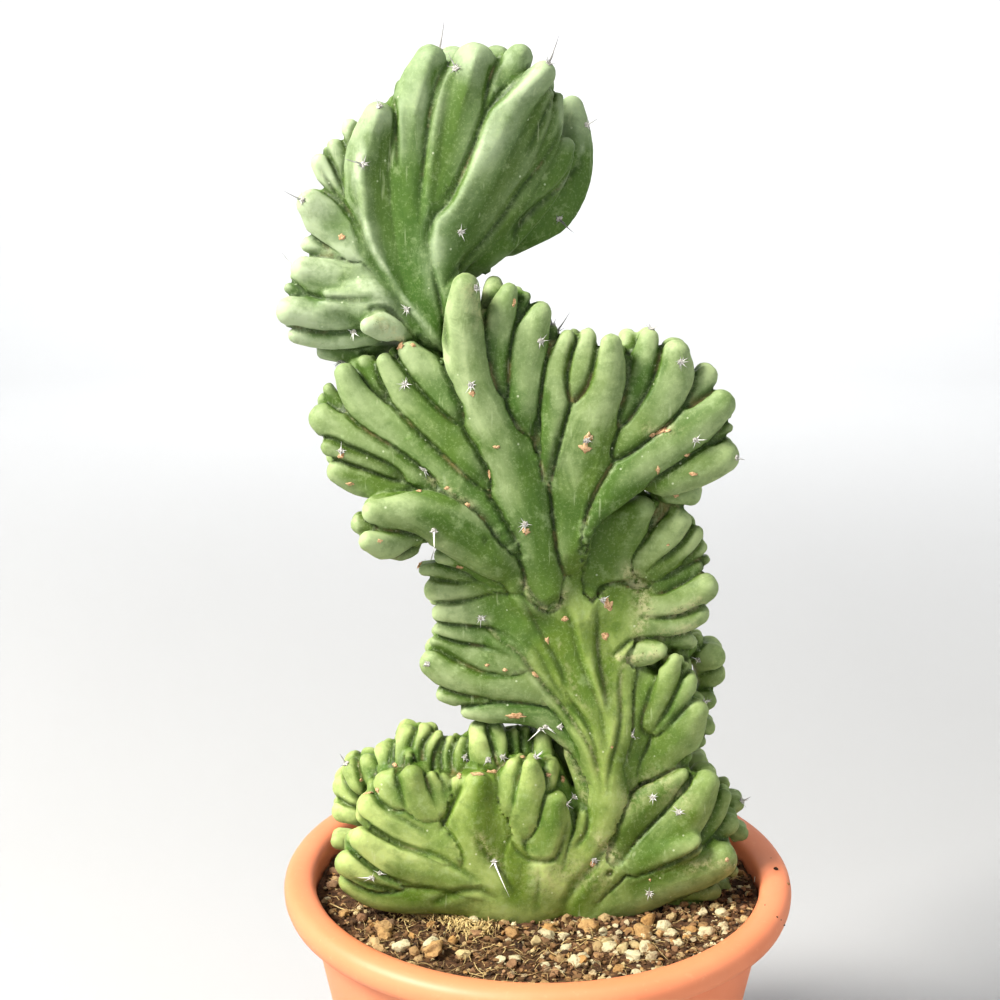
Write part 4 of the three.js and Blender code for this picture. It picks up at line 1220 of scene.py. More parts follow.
# %% Where they sit in the picture
# (x, y, spines, the longest spine's way in the picture in pixels, how white)
AREOLES = [
    (441, 48, 3, (1, -24), 0.1), (456, 68, 9, (-7, -12), 0.3), (549, 63, 4, (8, -22), 0.1),
    (363, 164, 8, (-18, -4), 0.3), (302, 200, 4, (-15, -7), 0.2), (292, 262, 2, (-12, -10), 0.5),
    (461, 232, 6, (-3, 3), 0.6), (407, 309, 7, (-6, -5), 0.7), (353, 332, 4, (1, 9), 1.0),
    (559, 219, 4, (12, 14), 0.0), (587, 125, 2, (9, -5), 0.5), (379, 106, 1, (-3, -6), 0.4),
    (476, 288, 5, (3, 4), 0.4), (471, 385, 8, (5, -5), 0.7), (525, 524, 7, (-6, 8), 0.7),
    (405, 384, 8, (-6, 5), 0.6), (341, 363, 8, (-6, 3), 0.4), (424, 470, 8, (-5, -4), 0.7),
    (341, 451, 4, (4, 2), 0.8), (434, 531, 4, (0, 19), 1.0), (541, 341, 6, (-3, 6), 0.5),
    (558, 333, 8, (9, -20), 0.1), (552, 322, 5, (-4, -8), 0.3), (587, 440, 5, (-5, 4), 0.2),
    (651, 329, 5, (-2, -4), 0.4), (681, 362, 9, (3, -4), 0.5), (696, 440, 6, (10, -1), 0.9),
    (481, 618, 9, (6, -3), 0.5), (427, 664, 3, (-4, 2), 0.5), (603, 600, 3, (-3, 1), 0.6),
    (632, 735, 10, (2, -4), 0.5), (698, 660, 4, (4, -2), 0.4), (653, 797, 7, (3, 4), 0.9),
    (679, 812, 9, (-3, 4), 0.7), (649, 893, 8, (4, 3), 0.8), (594, 860, 7, (3, 3), 0.6),
    (494, 862, 5, (13, 30), 1.0), (380, 873, 5, (-15, 7), 1.0), (372, 878, 3, (-14, -2), 0.9),
    (567, 804, 5, (-5, 5), 0.5), (575, 797, 2, (9, -2), 1.0), (541, 729, 2, (-11, 9), 0.9),
    (546, 727, 2, (10, 5), 0.8), (338, 757, 3, (-5, -8), 0.3), (465, 757, 4, (2, 6), 0.3),
    (488, 760, 4, (3, 4), 0.3), (503, 757, 4, (2, 6), 0.3), (536, 757, 4, (6, -5), 0.9),
    (560, 727, 3, (2, -5), 0.5), (716, 690, 3, (7, -1), 0.3), (742, 801, 3, (7, -3), 0.3),
    (737, 458, 2, (6, 2), 0.4),
]
# The scars: (x, y, half width in mm, half height in mm)
SCARS = [
    (342, 237, 1.0, 1.0), (472, 393, 1.1, 1.0), (496, 447, 1.2, 0.5), (526, 531, 1.3, 1.3),
    (350, 484, 1.2, 0.7), (419, 491, 1.0, 0.7), (380, 541, 0.8, 0.6), (467, 505, 1.1, 1.0),
    (447, 488, 0.8, 0.6), (489, 474, 0.6, 1.6), (514, 303, 0.6, 1.3), (585, 448, 1.8, 1.5),
    (589, 437, 1.3, 1.3), (661, 431, 2.8, 1.3), (652, 435, 1.0, 0.8), (693, 474, 1.6, 0.7),
    (676, 495, 1.0, 0.9), (658, 470, 0.8, 1.4), (687, 455, 1.0, 0.6), (460, 567, 1.5, 0.6),
    (341, 456, 1.0, 1.0), (516, 716, 3.0, 1.0), (487, 665, 0.8, 0.5), (505, 670, 0.9, 0.6),
    (535, 675, 1.6, 1.1), (609, 605, 1.6, 1.8), (606, 600, 1.2, 1.0), (605, 636, 1.2, 1.4),
    (547, 641, 0.8, 1.4), (565, 619, 1.0, 0.9), (612, 747, 0.5, 0.5), (668, 545, 0.5, 0.4),
    (592, 864, 1.5, 1.3), (563, 779, 0.9, 1.2), (368, 793, 1.8, 0.8), (377, 790, 0.9, 0.9),
    (361, 780, 0.8, 0.7), (395, 765, 1.2, 0.8), (478, 774, 2.2, 0.8), (492, 772, 2.0, 0.8),
    (459, 776, 0.9, 1.0), (400, 346, 1.8, 1.0), (413, 345, 0.8, 0.7), (405, 563, 1.4, 1.2),
    (412, 561, 1.0, 1.0), (517, 724, 1.6, 0.7), (650, 880, 0.5, 0.5), (727, 860, 0.9, 0.7),
    (548, 775, 0.9, 0.7), (523, 757, 0.9, 0.7),
]
PLANT_DEPTH = -0.012    # how far forward the plant is where a line of sight misses it


def tree_of(piece):
    """What a ray needs to find the place where it meets a piece."""
    return BVHTree.FromPolygons([Vector(point) for point in points_of(piece)], faces_of(piece))


def touch(tree, px, py):
    """Where the line of sight through a pixel meets a surface, or passes nearest to it."""
    place, normal, *rest = tree.ray_cast(CAMERA_PLACE, sight(px, py))
    if place is None:
        place, normal, *rest = tree.find_nearest(reach(px, py, PLANT_DEPTH))
    return place, normal


# %% Where they sit on the back
BACK_SPACING = 22 * MM  # from one areole of a rib to the next
BEHIND = 0.06
LEAST_TURN = 0.3        # how far a spot of the skin is turned to the back at least, to bear anything
FIRST_BACK = 0.92       # where the areole nearest to the tip sits on a rib
BACK_BARE = 0.3         # the share of the areoles on the back that is left out
skin_tree = tree_of(plant)


def touch_back(path, t):
    """Where the back of the plant is met behind a point of a rib's path, or None twice."""
    row = along_path(path, np.array([t]))[0]
    place, normal, *rest = skin_tree.ray_cast(Vector((row[0], row[1] + BEHIND, row[2])), Vector((0, -1, 0)))
    return (place, normal) if place is not None and normal.y > LEAST_TURN else (None, None)


sites = []
for px, py, count, (right, down), white in AREOLES:
    place, normal = touch(skin_tree, px, py)
    way = camera_turn @ Vector((right, -down, 0))
    pixel = (place - CAMERA_PLACE).length * SENSOR_MM / LENS_MM / PICTURE
    sites.append((place, normal, count, way * pixel, white))
for path in back_paths:
    length = length_of(path)
    for number in range(int(length / BACK_SPACING)):
        t = FIRST_BACK - number * BACK_SPACING / length + dice.uniform(-0.04, 0.04)
        place, normal = touch_back(path, t)
        if place is None or dice.random() < BACK_BARE:
            continue
        way = normal + Vector([dice.uniform(-1, 1) for k in range(3)])
        way = way.normalized() * dice.uniform(3, 7) * MM
        sites.append((place, normal, dice.randint(3, 7), way, dice.random()))
print("areoles:", len(AREOLES), "in the picture,", len(sites) - len(AREOLES), "on the back")

# %% Spines, from one cone
SPINE_ROOT = 0.2 * MM   # how deep a spine stands in the skin
SHORT_THICK, LONG_THICK = 0.27 * MM, 0.4 * MM
SPINE_BEND = 0.06

bpy.ops.object.select_all(action="DESELECT")
bpy.ops.mesh.primitive_cone_add(vertices=6, radius1=1, radius2=0.08, depth=1, location=(0, 0, 0.5))
bpy.ops.object.transform_apply(location=True, rotation=True, scale=True)
bpy.ops.object.mode_set(mode="EDIT")
bpy.ops.mesh.select_all(action="SELECT")
for cut in (0.33, 0.66):
    bpy.ops.mesh.bisect(plane_co=(0, 0, cut), plane_no=(0, 0, 1))
    bpy.ops.mesh.select_all(action="SELECT")
bpy.ops.object.mode_set(mode="OBJECT")
cone_points, cone_faces = taken_apart(bpy.context.object)


def spine(root, way, thickness):
    """A spine's points: the cone stretched along its way, with a slight bend."""
    turn = np.array(way.to_track_quat("Z", "X").to_matrix())
    x, y, z = cone_points.T
    bend = SPINE_BEND * way.length * z ** 2
    points = np.stack([x * thickness + bend, y * thickness, z * way.length], axis=1)
    return points @ turn.T + np.array(root)


spines = []
for place, normal, count, way, white in sites:
    aside = normal.orthogonal().normalized()
    root = place - normal * SPINE_ROOT
    start = dice.uniform(0, math.tau)
    for number in range(count):
        turn = Matrix.Rotation(start + number * math.tau / count + dice.uniform(-0.3, 0.3), 3, normal)
        lean = dice.uniform(0.8, 2.2)
        short = (normal + turn @ aside * lean).normalized() * dice.uniform(2.0, 4.0) * MM
        tone = 0.25 + white * 0.6 + dice.uniform(-0.2, 0.2)
        spines.append((spine(root, short, SHORT_THICK), cone_faces, tone))
    spines.append((spine(root, way + normal * way.length * 0.35, LONG_THICK), cone_faces, white))
thorns = made_of("spines", spines)
paint(thorns, "along", np.tile(cone_points[:, 2], len(spines)))
print("spines:", len(spines), "triangles:", triangles(thorns))

# %% Felt cushions and scars, from one ball
bpy.ops.mesh.primitive_ico_sphere_add(subdivisions=3, radius=1)
ball_points, ball_faces = taken_apart(bpy.context.object)


def cushion(place, normal, half_width, half_height, thickness, rough):
    """A rough flat button on the skin, its sizes in mm and its width across the picture, and its tone."""
    across = (camera_turn.col[0] - normal * normal.dot(camera_turn.col[0])).normalized()
    up = normal.cross(across)
    shift = Vector((dice.uniform(0, 40), dice.uniform(0, 40), 0))
    bumps = np.array([1 + rough * noise.noise(Vector(point) * 1.8 + shift) for point in ball_points])
    axes = np.array([across * half_width, up * half_height, normal * thickness])
    return (ball_points * bumps[:, None]) @ axes * MM + np.array(place), ball_faces, dice.random()


felts = [cushion(place, normal, 1.15, 1.0, 0.5, 0.6) for place, normal, *rest in sites]
scars = [cushion(*touch(skin_tree, px, py), half_width, half_height, 0.32, 0.9)
         for px, py, half_width, half_height in SCARS]
for path in back_paths[::3]:
    place, normal = touch_back(path, dice.uniform(0.3, 0.8))
    if place is not None:
        scars.append(cushion(place, normal, dice.uniform(0.6, 1.5), dice.uniform(0.5, 1.2), 0.3, 0.9))
felt_buttons = made_of("areole_felt", felts)
scar_buttons = made_of("corky_scars", scars)
choose(thorns, felt_buttons, scar_buttons)
bpy.ops.object.shade_smooth()
print("felts:", len(felts), "scars:", len(scars))

# %% Grey horny spine: hard and smooth like a fingernail, so it glints, and its tip is dark
horn, shader = new_material("grey horny spine")
tone, along = (add_node(horn, "Attribute", {}, "Fac", attribute_name=name) for name in ("tone", "along"))
tip = add_node(horn, "MapRange", {"Value": along, "From Min": 0.45, "To Max": 0.85})
grey = add_node(horn, "MapRange", {"Value": tone, "From Min": 0.5, "To Min": 1.0, "To Max": 0.25})
dark_tip = add_node(horn, "Math", {0: tip, 1: grey}, operation="MULTIPLY")
colour = layered(horn, "#7C7A76", [(tone, 0.0, 1.0, 1.0, "#F6F6F0"), (dark_tip, 0.0, 1.0, 1.0, "#2B2228")])
set_inputs(horn, shader, {"Base Color": colour, "Roughness": 0.45})
thorns.data.materials.append(horn)

# %% Grey wool felt and orange-brown cork: both dry and rough, so they take the light with no shine
felt, shader = new_material("grey wool felt")
place = add_node(felt, "TexCoord", {}, "Object")
wool = add_node(felt, "TexNoise", {"Vector": place, "Scale": 2200, "Detail": 4, "Roughness": 0.7})
colour = layered(felt, "#75716A", [(wool, 0.35, 0.65, 1.0, "#D9D7CE")])
bump = add_node(felt, "Bump", {"Height": wool, "Strength": 0.8, "Distance": 0.4 * MM})
set_inputs(felt, shader, {"Base Color": colour, "Roughness": 0.95, "Normal": bump})
felt_buttons.data.materials.append(felt)

cork, shader = new_material("orange-brown cork")
place = add_node(cork, "TexCoord", {}, "Object")
tone = add_node(cork, "Attribute", {}, "Fac", attribute_name="tone")
crust = add_node(cork, "TexNoise", {"Vector": place, "Scale": 1300, "Detail": 4, "Roughness": 0.7})
colour = layered(cork, "#A07852", [(crust, 0.35, 0.65, 1.0, "#E2BE96"), (tone, 0.5, 1.0, 0.5, "#B9A27C")])
bump = add_node(cork, "Bump", {"Height": crust, "Strength": 0.8, "Distance": 0.5 * MM})
set_inputs(cork, shader, {"Base Color": colour, "Roughness": 0.9, "Normal": bump})
scar_buttons.data.materials.append(cork)
for piece in (thorns, felt_buttons, scar_buttons):
    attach(piece, "root")
print("materials:", [material.name for material in (horn, felt, cork)])

# %% [markdown]
# ## The pot
#
# The pot is one moulding of soft terracotta-coloured plastic: a thin tapered wall and a wide
# rolled lip. A wall like that is drawn as a profile and spun round the pot's axis, the way a
# potter turns clay. The six drain holes are cut out of its floor.

# %% Spin the pot
# (radius, height) in mm, up the outside, over the lip and down the inside
POT_PROFILE = [
    (0, 0), (61.2, 0), (62.6, 0.5), (63.2, 1.6), (90.8, 140), (91.4, 144), (93.0, 145.4), (96.0, 145.2),
    (97.0, 143.6), (97.2, 140.6), (98.0, 139.9), (99.0, 140.6), (99.8, 142.8), (100.0, 145.2),
    (99.6, 147.2), (98.6, 148.7), (97.0, 149.7), (95.0, 150.0), (92.6, 150.0), (90.6, 149.6),
    (89.0, 148.7), (88.0, 147.2), (87.6, 145.0), (88.2, 140), (61.0, 3.6), (60.0, 3), (0, 3),
]
POT_STEPS = 144

bpy.ops.object.select_all(action="DESELECT")
bpy.ops.mesh.primitive_plane_add(size=1 * MM)
pot = named("plastic_pot")
bpy.ops.object.mode_set(mode="EDIT")
bpy.ops.mesh.select_mode(type="VERT")
bpy.ops.mesh.select_all(action="SELECT")
bpy.ops.mesh.merge(type="CENTER")
for (r0, z0), (r1, z1) in zip(POT_PROFILE, POT_PROFILE[1:]):
    bpy.ops.mesh.extrude_vertices_move(TRANSFORM_OT_translate={"value": ((r1 - r0) * MM, 0, (z1 - z0) * MM)})
bpy.ops.mesh.select_all(action="SELECT")
bpy.ops.mesh.spin(steps=POT_STEPS, angle=math.tau, center=(0, 0, 0), axis=(0, 0, 1))
bpy.ops.mesh.select_all(action="SELECT")
bpy.ops.mesh.remove_doubles(threshold=0.02 * MM)
bpy.ops.mesh.normals_make_consistent(inside=False)
bpy.ops.object.mode_set(mode="OBJECT")
print("pot triangles:", triangles(pot))

# %% Cut the drain holes
DRAIN_HOLES = 6
DRAIN_CIRCLE = 42 * MM
DRAIN_RADIUS = 5 * MM
FLOOR_MIDDLE = 1.5 * MM  # half the thickness of the pot's floor

drills = []
for turn in range(DRAIN_HOLES):
    angle = turn * math.tau / DRAIN_HOLES
    at = (DRAIN_CIRCLE * math.cos(angle), DRAIN_CIRCLE * math.sin(angle), FLOOR_MIDDLE)
    bpy.ops.mesh.primitive_cylinder_add(vertices=24, radius=DRAIN_RADIUS, depth=8 * MM, location=at)
    drills.append(bpy.context.object)
drill = joined(drills, "drain_drill")
apply_modifier(pot, "BOOLEAN", operation="DIFFERENCE", solver="EXACT", object=drill)
bpy.data.objects.remove(drill)
choose(pot)
bpy.ops.object.shade_smooth_by_angle(angle=math.radians(40))
print("pot triangles after the holes:", triangles(pot))

# %% Matt terracotta plastic: moulded, with a soft sheen, unevenly dyed and a little dusty
plastic, shader = new_material("matt terracotta plastic")
place = add_node(plastic, "TexCoord", {}, "Object")
cloud, dust = (
    add_node(plastic, "TexNoise", {"Vector": place, "Scale": spots, "Detail": detail, "Roughness": 0.55})
    for spots, detail in ((14, 4), (420, 2)))
colour = layered(plastic, "#DB8158", [(cloud, 0.3, 0.7, 1.0, "#E4926A"), (dust, 0.62, 0.8, 0.25, "#EFAA84")])
set_inputs(plastic, shader, {"Base Color": colour, "Roughness": 0.5})
pot.data.materials.append(plastic)
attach(pot, "root")
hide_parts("pot")

# %% [markdown]
# ## The soil
#
# The pot is filled with dark, fibrous peat and a lot of grit. The peat is a round sheet that is
# pushed up and down by three sizes of noise. On it lie crumbs, grit and stones of all sizes,
# each a small ball with its points pushed about, and rootlets and straws in between.

# %% The peat
SOIL_RADIUS = 87.4
SOIL_TOP = 139.5
SOIL_RINGS = 80
SOIL_STEPS = 288
PEAT_NOISE = [(22, 1.6, (0, 0, 0)), (5.5, 1.3, (0, 0, 0)), (1.9, 0.9, (7, 3, 0))]  # (size, height, shift)


def peat_height(x, y):
    """How high the peat stands above its mean level, in mm, at a place in mm."""
    here = Vector((x, y, 0.0))
    return sum(noise.noise(here / size + Vector(shift)) * height for size, height, shift in PEAT_NOISE)


bpy.ops.mesh.primitive_circle_add(vertices=SOIL_STEPS, radius=SOIL_RADIUS * MM, fill_type="NOTHING")
soil = named("gritty_soil")
bpy.ops.object.mode_set(mode="EDIT")
bpy.ops.mesh.select_all(action="SELECT")
for ring in range(SOIL_RINGS, 1, -1):
    bpy.ops.mesh.extrude_edges_move(TRANSFORM_OT_translate={"value": (0, 0, 0)})
    factor = (ring - 1) / ring
    bpy.ops.transform.resize(value=(factor, factor, 1))
bpy.ops.mesh.edge_face_add()
bpy.ops.mesh.poke()
bpy.ops.mesh.select_all(action="SELECT")
bpy.ops.mesh.normals_make_consistent(inside=False)
bpy.ops.object.mode_set(mode="OBJECT")
ground = points_of(soil)
ground[:, 2] = [(SOIL_TOP + peat_height(x / MM, y / MM)) * MM for x, y, z in ground]
move_points(soil, ground)
if soil.data.polygons[0].normal.z < 0:
    soil.data.flip_normals()
choose(soil)
bpy.ops.object.shade_smooth()
print("peat triangles:", triangles(soil))

# %% Dark fibrous peat: damp and open, so it is nearly black between its crumbs and has no shine
peat, shader = new_material("dark fibrous peat")
place = add_node(peat, "TexCoord", {}, "Object")
drawn_out = add_node(peat, "Mapping", {"Vector": place, "Scale": (1.0, 3.5, 1.0), "Rotation": (0, 0, 0.6)})
grains = add_node(peat, "TexNoise", {"Vector": place, "Scale": 380, "Detail": 6, "Roughness": 0.7})
fibres = add_node(peat, "TexNoise", {"Vector": drawn_out, "Scale": 260, "Detail": 3, "Roughness": 0.55})
colour = layered(peat, "#1B110A", [
    (grains, 0.32, 0.68, 1.0, "#6E4E33"),
    (fibres, 0.58, 0.72, 0.6, "#A07F56"),
])
bump = add_node(peat, "Bump", {"Height": grains, "Strength": 0.9, "Distance": 1 * MM})
set_inputs(peat, shader, {"Base Color": colour, "Roughness": 0.95, "Normal": bump})
soil.data.materials.append(peat)
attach(soil, "root")
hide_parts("soil")
print("peat nodes:", len(peat.node_tree.nodes))

# %% [markdown]
# ## Stones, grit and crumbs
#
# A stone is a ball of a few faces whose points are moved in and out, flattened a little, turned
# and laid half into the peat. The twenty larger ones lie where the fixed frame has them, those
# that stand out in the picture lie where their pixel shows them, and the rest is strewn by
# chance, thinner on the left, as in the picture.

# %% The stones that have a place
# (x, y, size) in mm
STONES = [
    (-58, -39, 3.6), (-39, -54, 4.0), (-51, -52, 3.2), (-25, -30, 2.8), (-48, -22, 3.2), (3, -40, 3.0),
    (19, -36, 3.7), (25, -50, 3.0), (39, -39, 4.0), (49, -40, 2.9), (62, -39, 3.2), (39, -52, 3.3),
    (13, -62, 3.0), (71, -24, 2.6), (62, 27, 3.4), (35, 52, 3.9), (-6, 62, 3.1), (-40, 48, 4.0),
    (-67, 22, 3.2), (10, 34, 3.3),
]
# Those that stand out in the picture: (x, y in pixels, size in mm, tone)
SEEN_STONES = [
    (384, 930, 3.6, 0.45), (402, 949, 3.0, 0.62), (432, 951, 3.9, 0.6), (412, 908, 2.9, 0.58),
    (441, 906, 2.5, 0.05), (474, 917, 3.0, 0.6), (505, 925, 2.2, 0.15), (412, 937, 1.8, 0.4),
    (453, 942, 2.2, 0.42), (463, 956, 2.8, 0.05), (512, 940, 3.2, 0.3), (536, 944, 2.4, 0.05),
    (549, 931, 2.9, 0.42), (566, 921, 2.4, 0.2), (586, 925, 2.6, 0.0), (566, 950, 2.2, 0.6),
    (604, 917, 3.0, 0.42), (615, 915, 2.2, 0.42), (603, 934, 2.0, 0.6), (606, 945, 2.4, 0.05),
    (622, 951, 2.6, 0.05), (634, 960, 3.0, 0.6), (645, 935, 3.0, 0.58), (635, 948, 2.2, 0.1),
    (650, 952, 2.8, 0.25), (648, 921, 3.0, 0.4), (664, 931, 3.2, 0.6), (672, 920, 2.0, 0.1),
    (678, 946, 2.0, 0.6), (704, 930, 2.4, 0.25), (703, 916, 2.2, 0.6), (716, 908, 2.4, 0.05),
    (723, 926, 2.2, 0.6), (741, 892, 1.8, 0.6), (735, 900, 1.8, 0.2), (581, 966, 2.6, 0.42),
    (560, 962, 2.2, 0.2), (545, 965, 1.8, 0.6), (500, 962, 2.2, 0.6), (380, 950, 2.4, 0.2),
]
# Crumbs of peat on the pot's rim: (x, y in pixels, size in mm)
RIM_DIRT = [
    (776, 869, 1.1), (788, 884, 0.8), (777, 917, 0.5), (784, 925, 0.5), (781, 920, 0.35), (771, 858, 0.3),
    (330, 905, 0.3), (520, 978, 0.3), (765, 905, 0.3),
]


def peat_spot(px, py):
    """The place on the peat, in mm, that a pixel shows."""
    ray = sight(px, py)
    place = (CAMERA_PLACE + ray * ((SOIL_TOP * MM - CAMERA_PLACE.z) / ray.z)) / MM
    return place.x, place.y


def on_peat(x, y, lift):
    """A place over the peat, in mm."""
    return x, y, SOIL_TOP + peat_height(x, y) + lift


# %% The shapes of pebbles, and how they are strewn
STREW_RADIUS = 85
SOIL_EDGE = 86.5        # how far out the edge of a pebble may lie
PLANT_FOOT = (60, 18)   # half its width and depth
FOOT_FORWARD = 8
LEFT_BARE = 0.4         # the share of the pebbles on the left that is left out


def pebble_shapes(subdivisions, roughness, count):
    """A few different pebbles, modelled once and copied as often as needed."""
    shapes = []
    for number in range(count):
        bpy.ops.mesh.primitive_ico_sphere_add(subdivisions=subdivisions, radius=1)
        points, faces = taken_apart(bpy.context.object)
        shift = Vector((dice.uniform(0, 50), dice.uniform(0, 50), 0))
        points *= np.array([[1 + roughness * noise.noise(Vector(point) * 1.3 + shift)] for point in points])
        points *= [1.0, dice.uniform(0.7, 0.95), dice.uniform(0.55, 0.8)]
        shapes.append((points, faces))
    return shapes


def laid(name, shapes, places):
    """One mesh of many pebbles. A place: (x, y, z, size) in mm, and a tone if it isn't left to chance."""
    parts = []
    for x, y, z, size, *tone in places:
        points, faces = dice.choice(shapes)
        heading, lean = dice.uniform(0, math.tau), dice.uniform(-0.5, 0.5)
        turn = Matrix.Rotation(heading, 3, "Z") @ Matrix.Rotation(lean, 3, "X")
        moved = points @ np.array(turn).T * size + (x, y, z)
        parts.append((moved * MM, faces, tone[0] if tone else dice.random()))
    return made_of(name, parts)


def in_plant(x, y):
    """Whether a place in mm lies under the plant's foot."""
    return (x / PLANT_FOOT[0]) ** 2 + ((y + FOOT_FORWARD) / PLANT_FOOT[1]) ** 2 < 1


def chance_spot(radius):
    radius, angle = radius * math.sqrt(dice.random()), dice.uniform(0, math.tau)
    return radius, radius * math.cos(angle), radius * math.sin(angle)


def strewn(count, low, high, sink):
    places = []
    while len(places) < count:
        radius, x, y = chance_spot(STREW_RADIUS)
        size = low + (high - low) * dice.random() ** 2
        if radius + size > SOIL_EDGE or in_plant(x, y):
            continue
        if x < 0 and dice.random() < LEFT_BARE:
            continue
        places.append((*on_peat(x, y, size * sink), size))
    return places


# %% The stones, the grit and the crumbs
STONE_TONE, LARGE_TONE, LARGE_STONE = 0.58, 0.44, 3.5  # the tones of a stone and of one above this size in mm
GRIT_COUNT, FINE_GRIT_COUNT, CRUMB_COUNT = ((330, 1900, 2600))

stone_shapes = pebble_shapes(3, 0.5, 6)
grit_shapes = pebble_shapes(2, 0.6, 8)
crumb_shapes = pebble_shapes(1, 0.8, 8)
stone_places = [(*on_peat(x, y, 0.25 * size), size * 1.05, LARGE_TONE if size > LARGE_STONE else STONE_TONE)
                for x, y, size in STONES]
seen = [(*on_peat(*peat_spot(px, py), 0.4 * size), size, tone) for px, py, size, tone in SEEN_STONES]
pot_tree = tree_of(pot)
dirt = [(*(touch(pot_tree, px, py)[0] / MM), size) for px, py, size in RIM_DIRT]
stones = laid("pumice_stones", stone_shapes, stone_places)
grit = laid("grit", grit_shapes, strewn(GRIT_COUNT, 1.3, 2.9, 0.25) + seen)
fine_grit = laid("fine_grit", crumb_shapes, strewn(FINE_GRIT_COUNT, 0.5, 1.5, 0.35))
crumbs = laid("peat_crumbs", crumb_shapes, strewn(CRUMB_COUNT, 0.5, 1.6, 0.4) + dirt)
for piece in (stones, grit, fine_grit, crumbs):
    choose(piece)
    bpy.ops.object.shade_smooth_by_angle(angle=math.radians(45))
    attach(piece, "root")
print("triangles:", [triangles(piece) for piece in (stones, grit, fine_grit, crumbs)])

# %% Pumice and peat crumbs: pumice is chalky and full of pores, stained brown where damp peat clings
STONE_COLOURS = [(0.0, "#D0BF90"), (0.25, "#A3835A"), (0.42, "#B8905A"), (0.6, "#D5CCA8"), (0.8, "#856549"),
                 (1.0, "#A98663")]
pumice, shader = new_material("pale pumice and yellow grit")
place = add_node(pumice, "TexCoord", {}, "Object")
tone = add_node(pumice, "Attribute", {}, "Fac", attribute_name="tone")
stone_colour = add_node(pumice, "ValToRGB", {"Fac": tone})
ramp = stone_colour.node.color_ramp.elements
for position, hex_colour in STONE_COLOURS[1:-1]:
    ramp.new(position)
for element, (position, hex_colour) in zip(ramp, STONE_COLOURS):
    element.color = linear(hex_colour)
pores, stains = (
    add_node(pumice, "TexNoise", {"Vector": place, "Scale": spots, "Detail": 5, "Roughness": 0.7})
    for spots in (900, 320))
colour = layered(pumice, stone_colour, [
    (pores, 0.42, 0.30, 0.6, "#5B4330"),
    (stains, 0.5, 0.66, 0.65, "#6E5238"),
])
bump = add_node(pumice, "Bump", {"Height": pores, "Strength": 0.9, "Distance": 0.9 * MM})
set_inputs(pumice, shader, {"Base Color": colour, "Roughness": 0.9, "Normal": bump})
for piece in (stones, grit, fine_grit):
    piece.data.materials.append(pumice)
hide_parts(*[f"pumice_{number:02d}" for number in range(1, len(STONES) + 1)])

crumb, shader = new_material("brown peat crumbs")
tone = add_node(crumb, "Attribute", {}, "Fac", attribute_name="tone")
colour = layered(crumb, "#2A1B11", [(tone, 0.0, 1.0, 1.0, "#8A6A48")])
set_inputs(crumb, shader, {"Base Color": colour, "Roughness": 0.95})
crumbs.data.materials.append(crumb)
print("stones replace", len(STONES), "nodes")

# %% [markdown]
# ## Fibres and straws
#
# Rootlets and bits of dry straw lie in the peat. Each is a thin three-sided tube along a smooth
# curve. Most are strewn, a tuft of short ones lies in front on the left, one long straw leans
# on the plant, and a white rootlet curls up at the right.

# %% Fibres
FIBRE_RINGS = 7
FIBRE_COUNT = 1100
TUFT_COUNT = 420
FIBRE_START, FIBRE_EDGE = 80, 86  # how far out a fibre may start, and how far it may go, in mm
# Seen in the picture, in pixels
TUFT = [(412, 914), (425, 912), (438, 915), (452, 919), (464, 926), (476, 934)]
LONG_STRAW = [(416, 905), (409, 894), (402, 884), (397, 876)]
ROOTLET = [(738, 851), (748, 860), (755, 873), (754, 888)]
SHORT_STRAWS = [[(330, 905), (345, 913), (362, 914)], [(468, 916), (480, 925), (490, 938)],
                [(640, 925), (648, 932), (662, 930)], [(424, 944), (408, 931), (402, 912)]]


def fibre(marks, thickness):
    """The points and faces of a thin tube through its marks in metres, thinner towards its end."""
    t = np.linspace(0, 1, FIBRE_RINGS)
    line = along_path(np.array(marks), t)
    heading = np.gradient(line, axis=0)
    heading /= np.linalg.norm(heading, axis=1, keepdims=True)
    side = np.cross(heading, [0.1, 0.3, 1.0])
    side /= np.linalg.norm(side, axis=1, keepdims=True)
    up = np.cross(side, heading)
    width = thickness * MM * (1 - 0.5 * t ** 2)[:, None]
    turns = [corner * math.tau / 3 for corner in range(3)]
    ring = [line + width * (math.cos(turn) * side + math.sin(turn) * up) for turn in turns]
    faces = [[3 * k + s, 3 * k + 3 + s, 3 * k + 3 + (s + 1) % 3, 3 * k + (s + 1) % 3]
             for k in range(FIBRE_RINGS - 1) for s in range(3)]
    last = 3 * FIBRE_RINGS - 1
    return np.stack(ring, axis=1).reshape(-1, 3), faces + [[0, 1, 2], [last, last - 1, last - 2]]


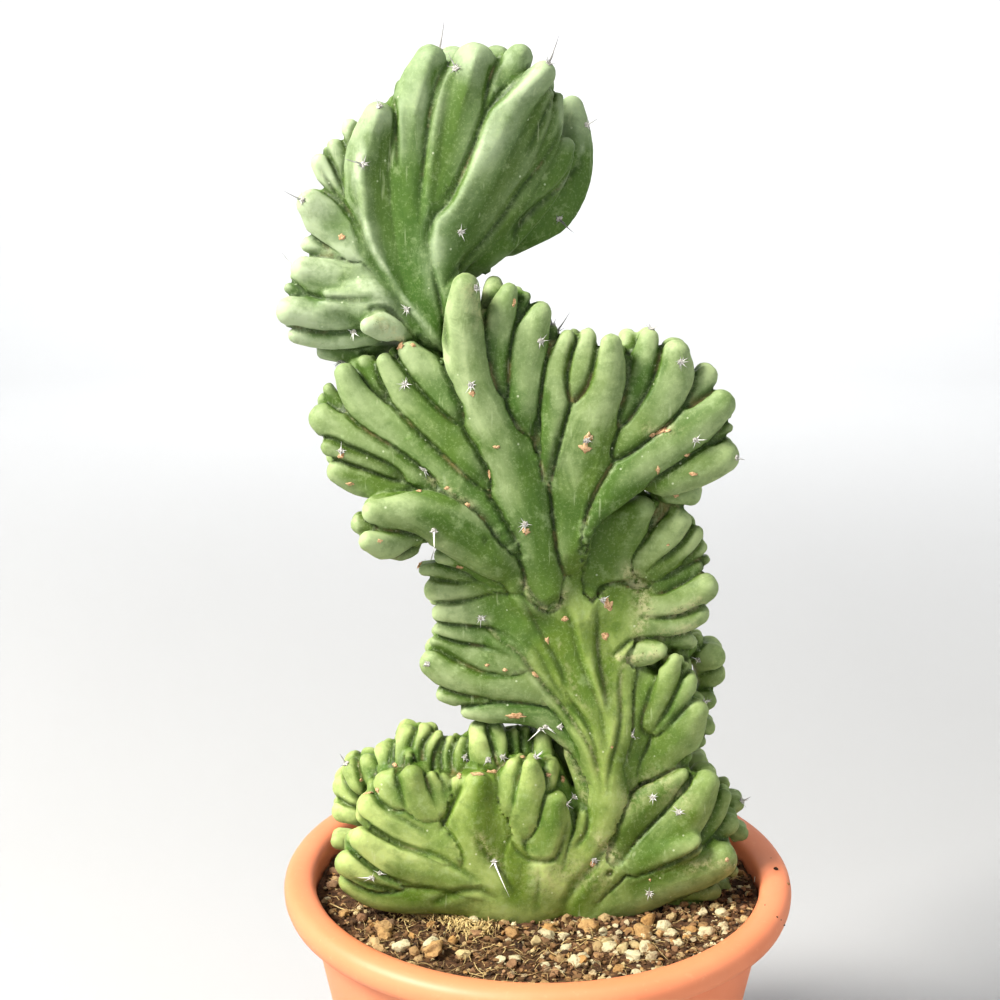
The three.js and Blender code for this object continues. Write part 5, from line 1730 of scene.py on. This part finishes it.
def wandering(x, y, length, lift):
    """Four marks of a fibre that wanders over the peat."""
    heading = dice.uniform(0, math.tau)
    marks = []
    for step in range(4):
        marks.append(np.array(on_peat(x, y, dice.uniform(-0.3, lift))) * MM)
        x += length / 3 * math.cos(heading)
        y += length / 3 * math.sin(heading)
        heading += dice.uniform(-0.9, 0.9)
    return marks


def over_peat(pixels, lift):
    return [np.array(on_peat(*peat_spot(px, py), lift)) * MM for px, py in pixels]


fibres = []
while len(fibres) < FIBRE_COUNT:
    radius, x, y = chance_spot(FIBRE_START)
    marks = wandering(x, y, dice.uniform(3, 13), 1.8)
    in_pot = all(math.hypot(*mark[:2]) < FIBRE_EDGE * MM for mark in marks)
    if in_pot and not any(in_plant(mark[0] / MM, mark[1] / MM) for mark in marks):
        fibres.append((*fibre(marks, dice.uniform(0.1, 0.26)), 0.9 * dice.random() ** 1.5))
for number in range(TUFT_COUNT):
    px, py = dice.choice(TUFT)
    x, y = peat_spot(px + dice.gauss(0, 9), py + dice.gauss(0, 3.5))
    marks = wandering(x, y, dice.uniform(1.5, 5), 3.0)
    fibres.append((*fibre(marks, dice.uniform(0.15, 0.4)), dice.uniform(0.6, 1)))
for pixels in SHORT_STRAWS:
    fibres.append((*fibre(over_peat(pixels, 1.2), 0.3), 0.9))
straw_foot = peat_spot(*LONG_STRAW[0])[1] * MM
fibres.append((*fibre([reach(px, py, straw_foot) for px, py in LONG_STRAW], 0.32), 1.0))
fibres.append((*fibre(over_peat(ROOTLET, 1.5), 0.3), 1.3))
straws = made_of("straws_and_rootlets", fibres)
choose(straws)
bpy.ops.object.shade_smooth()
print("fibres:", len(fibres), "triangles:", triangles(straws))

# %% Dry straw and rootlets: bleached by the sun, with the one fresh rootlet nearly white
straw, shader = new_material("dry straw and rootlets")
tone = add_node(straw, "Attribute", {}, "Fac", attribute_name="tone")
colour = layered(straw, "#5E4024", [(tone, 0.0, 1.0, 1.0, "#DCC58C"), (tone, 1.1, 1.3, 1.0, "#F2ECDC")])
set_inputs(straw, shader, {"Base Color": colour, "Roughness": 0.8})
straws.data.materials.append(straw)
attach(straws, "root")
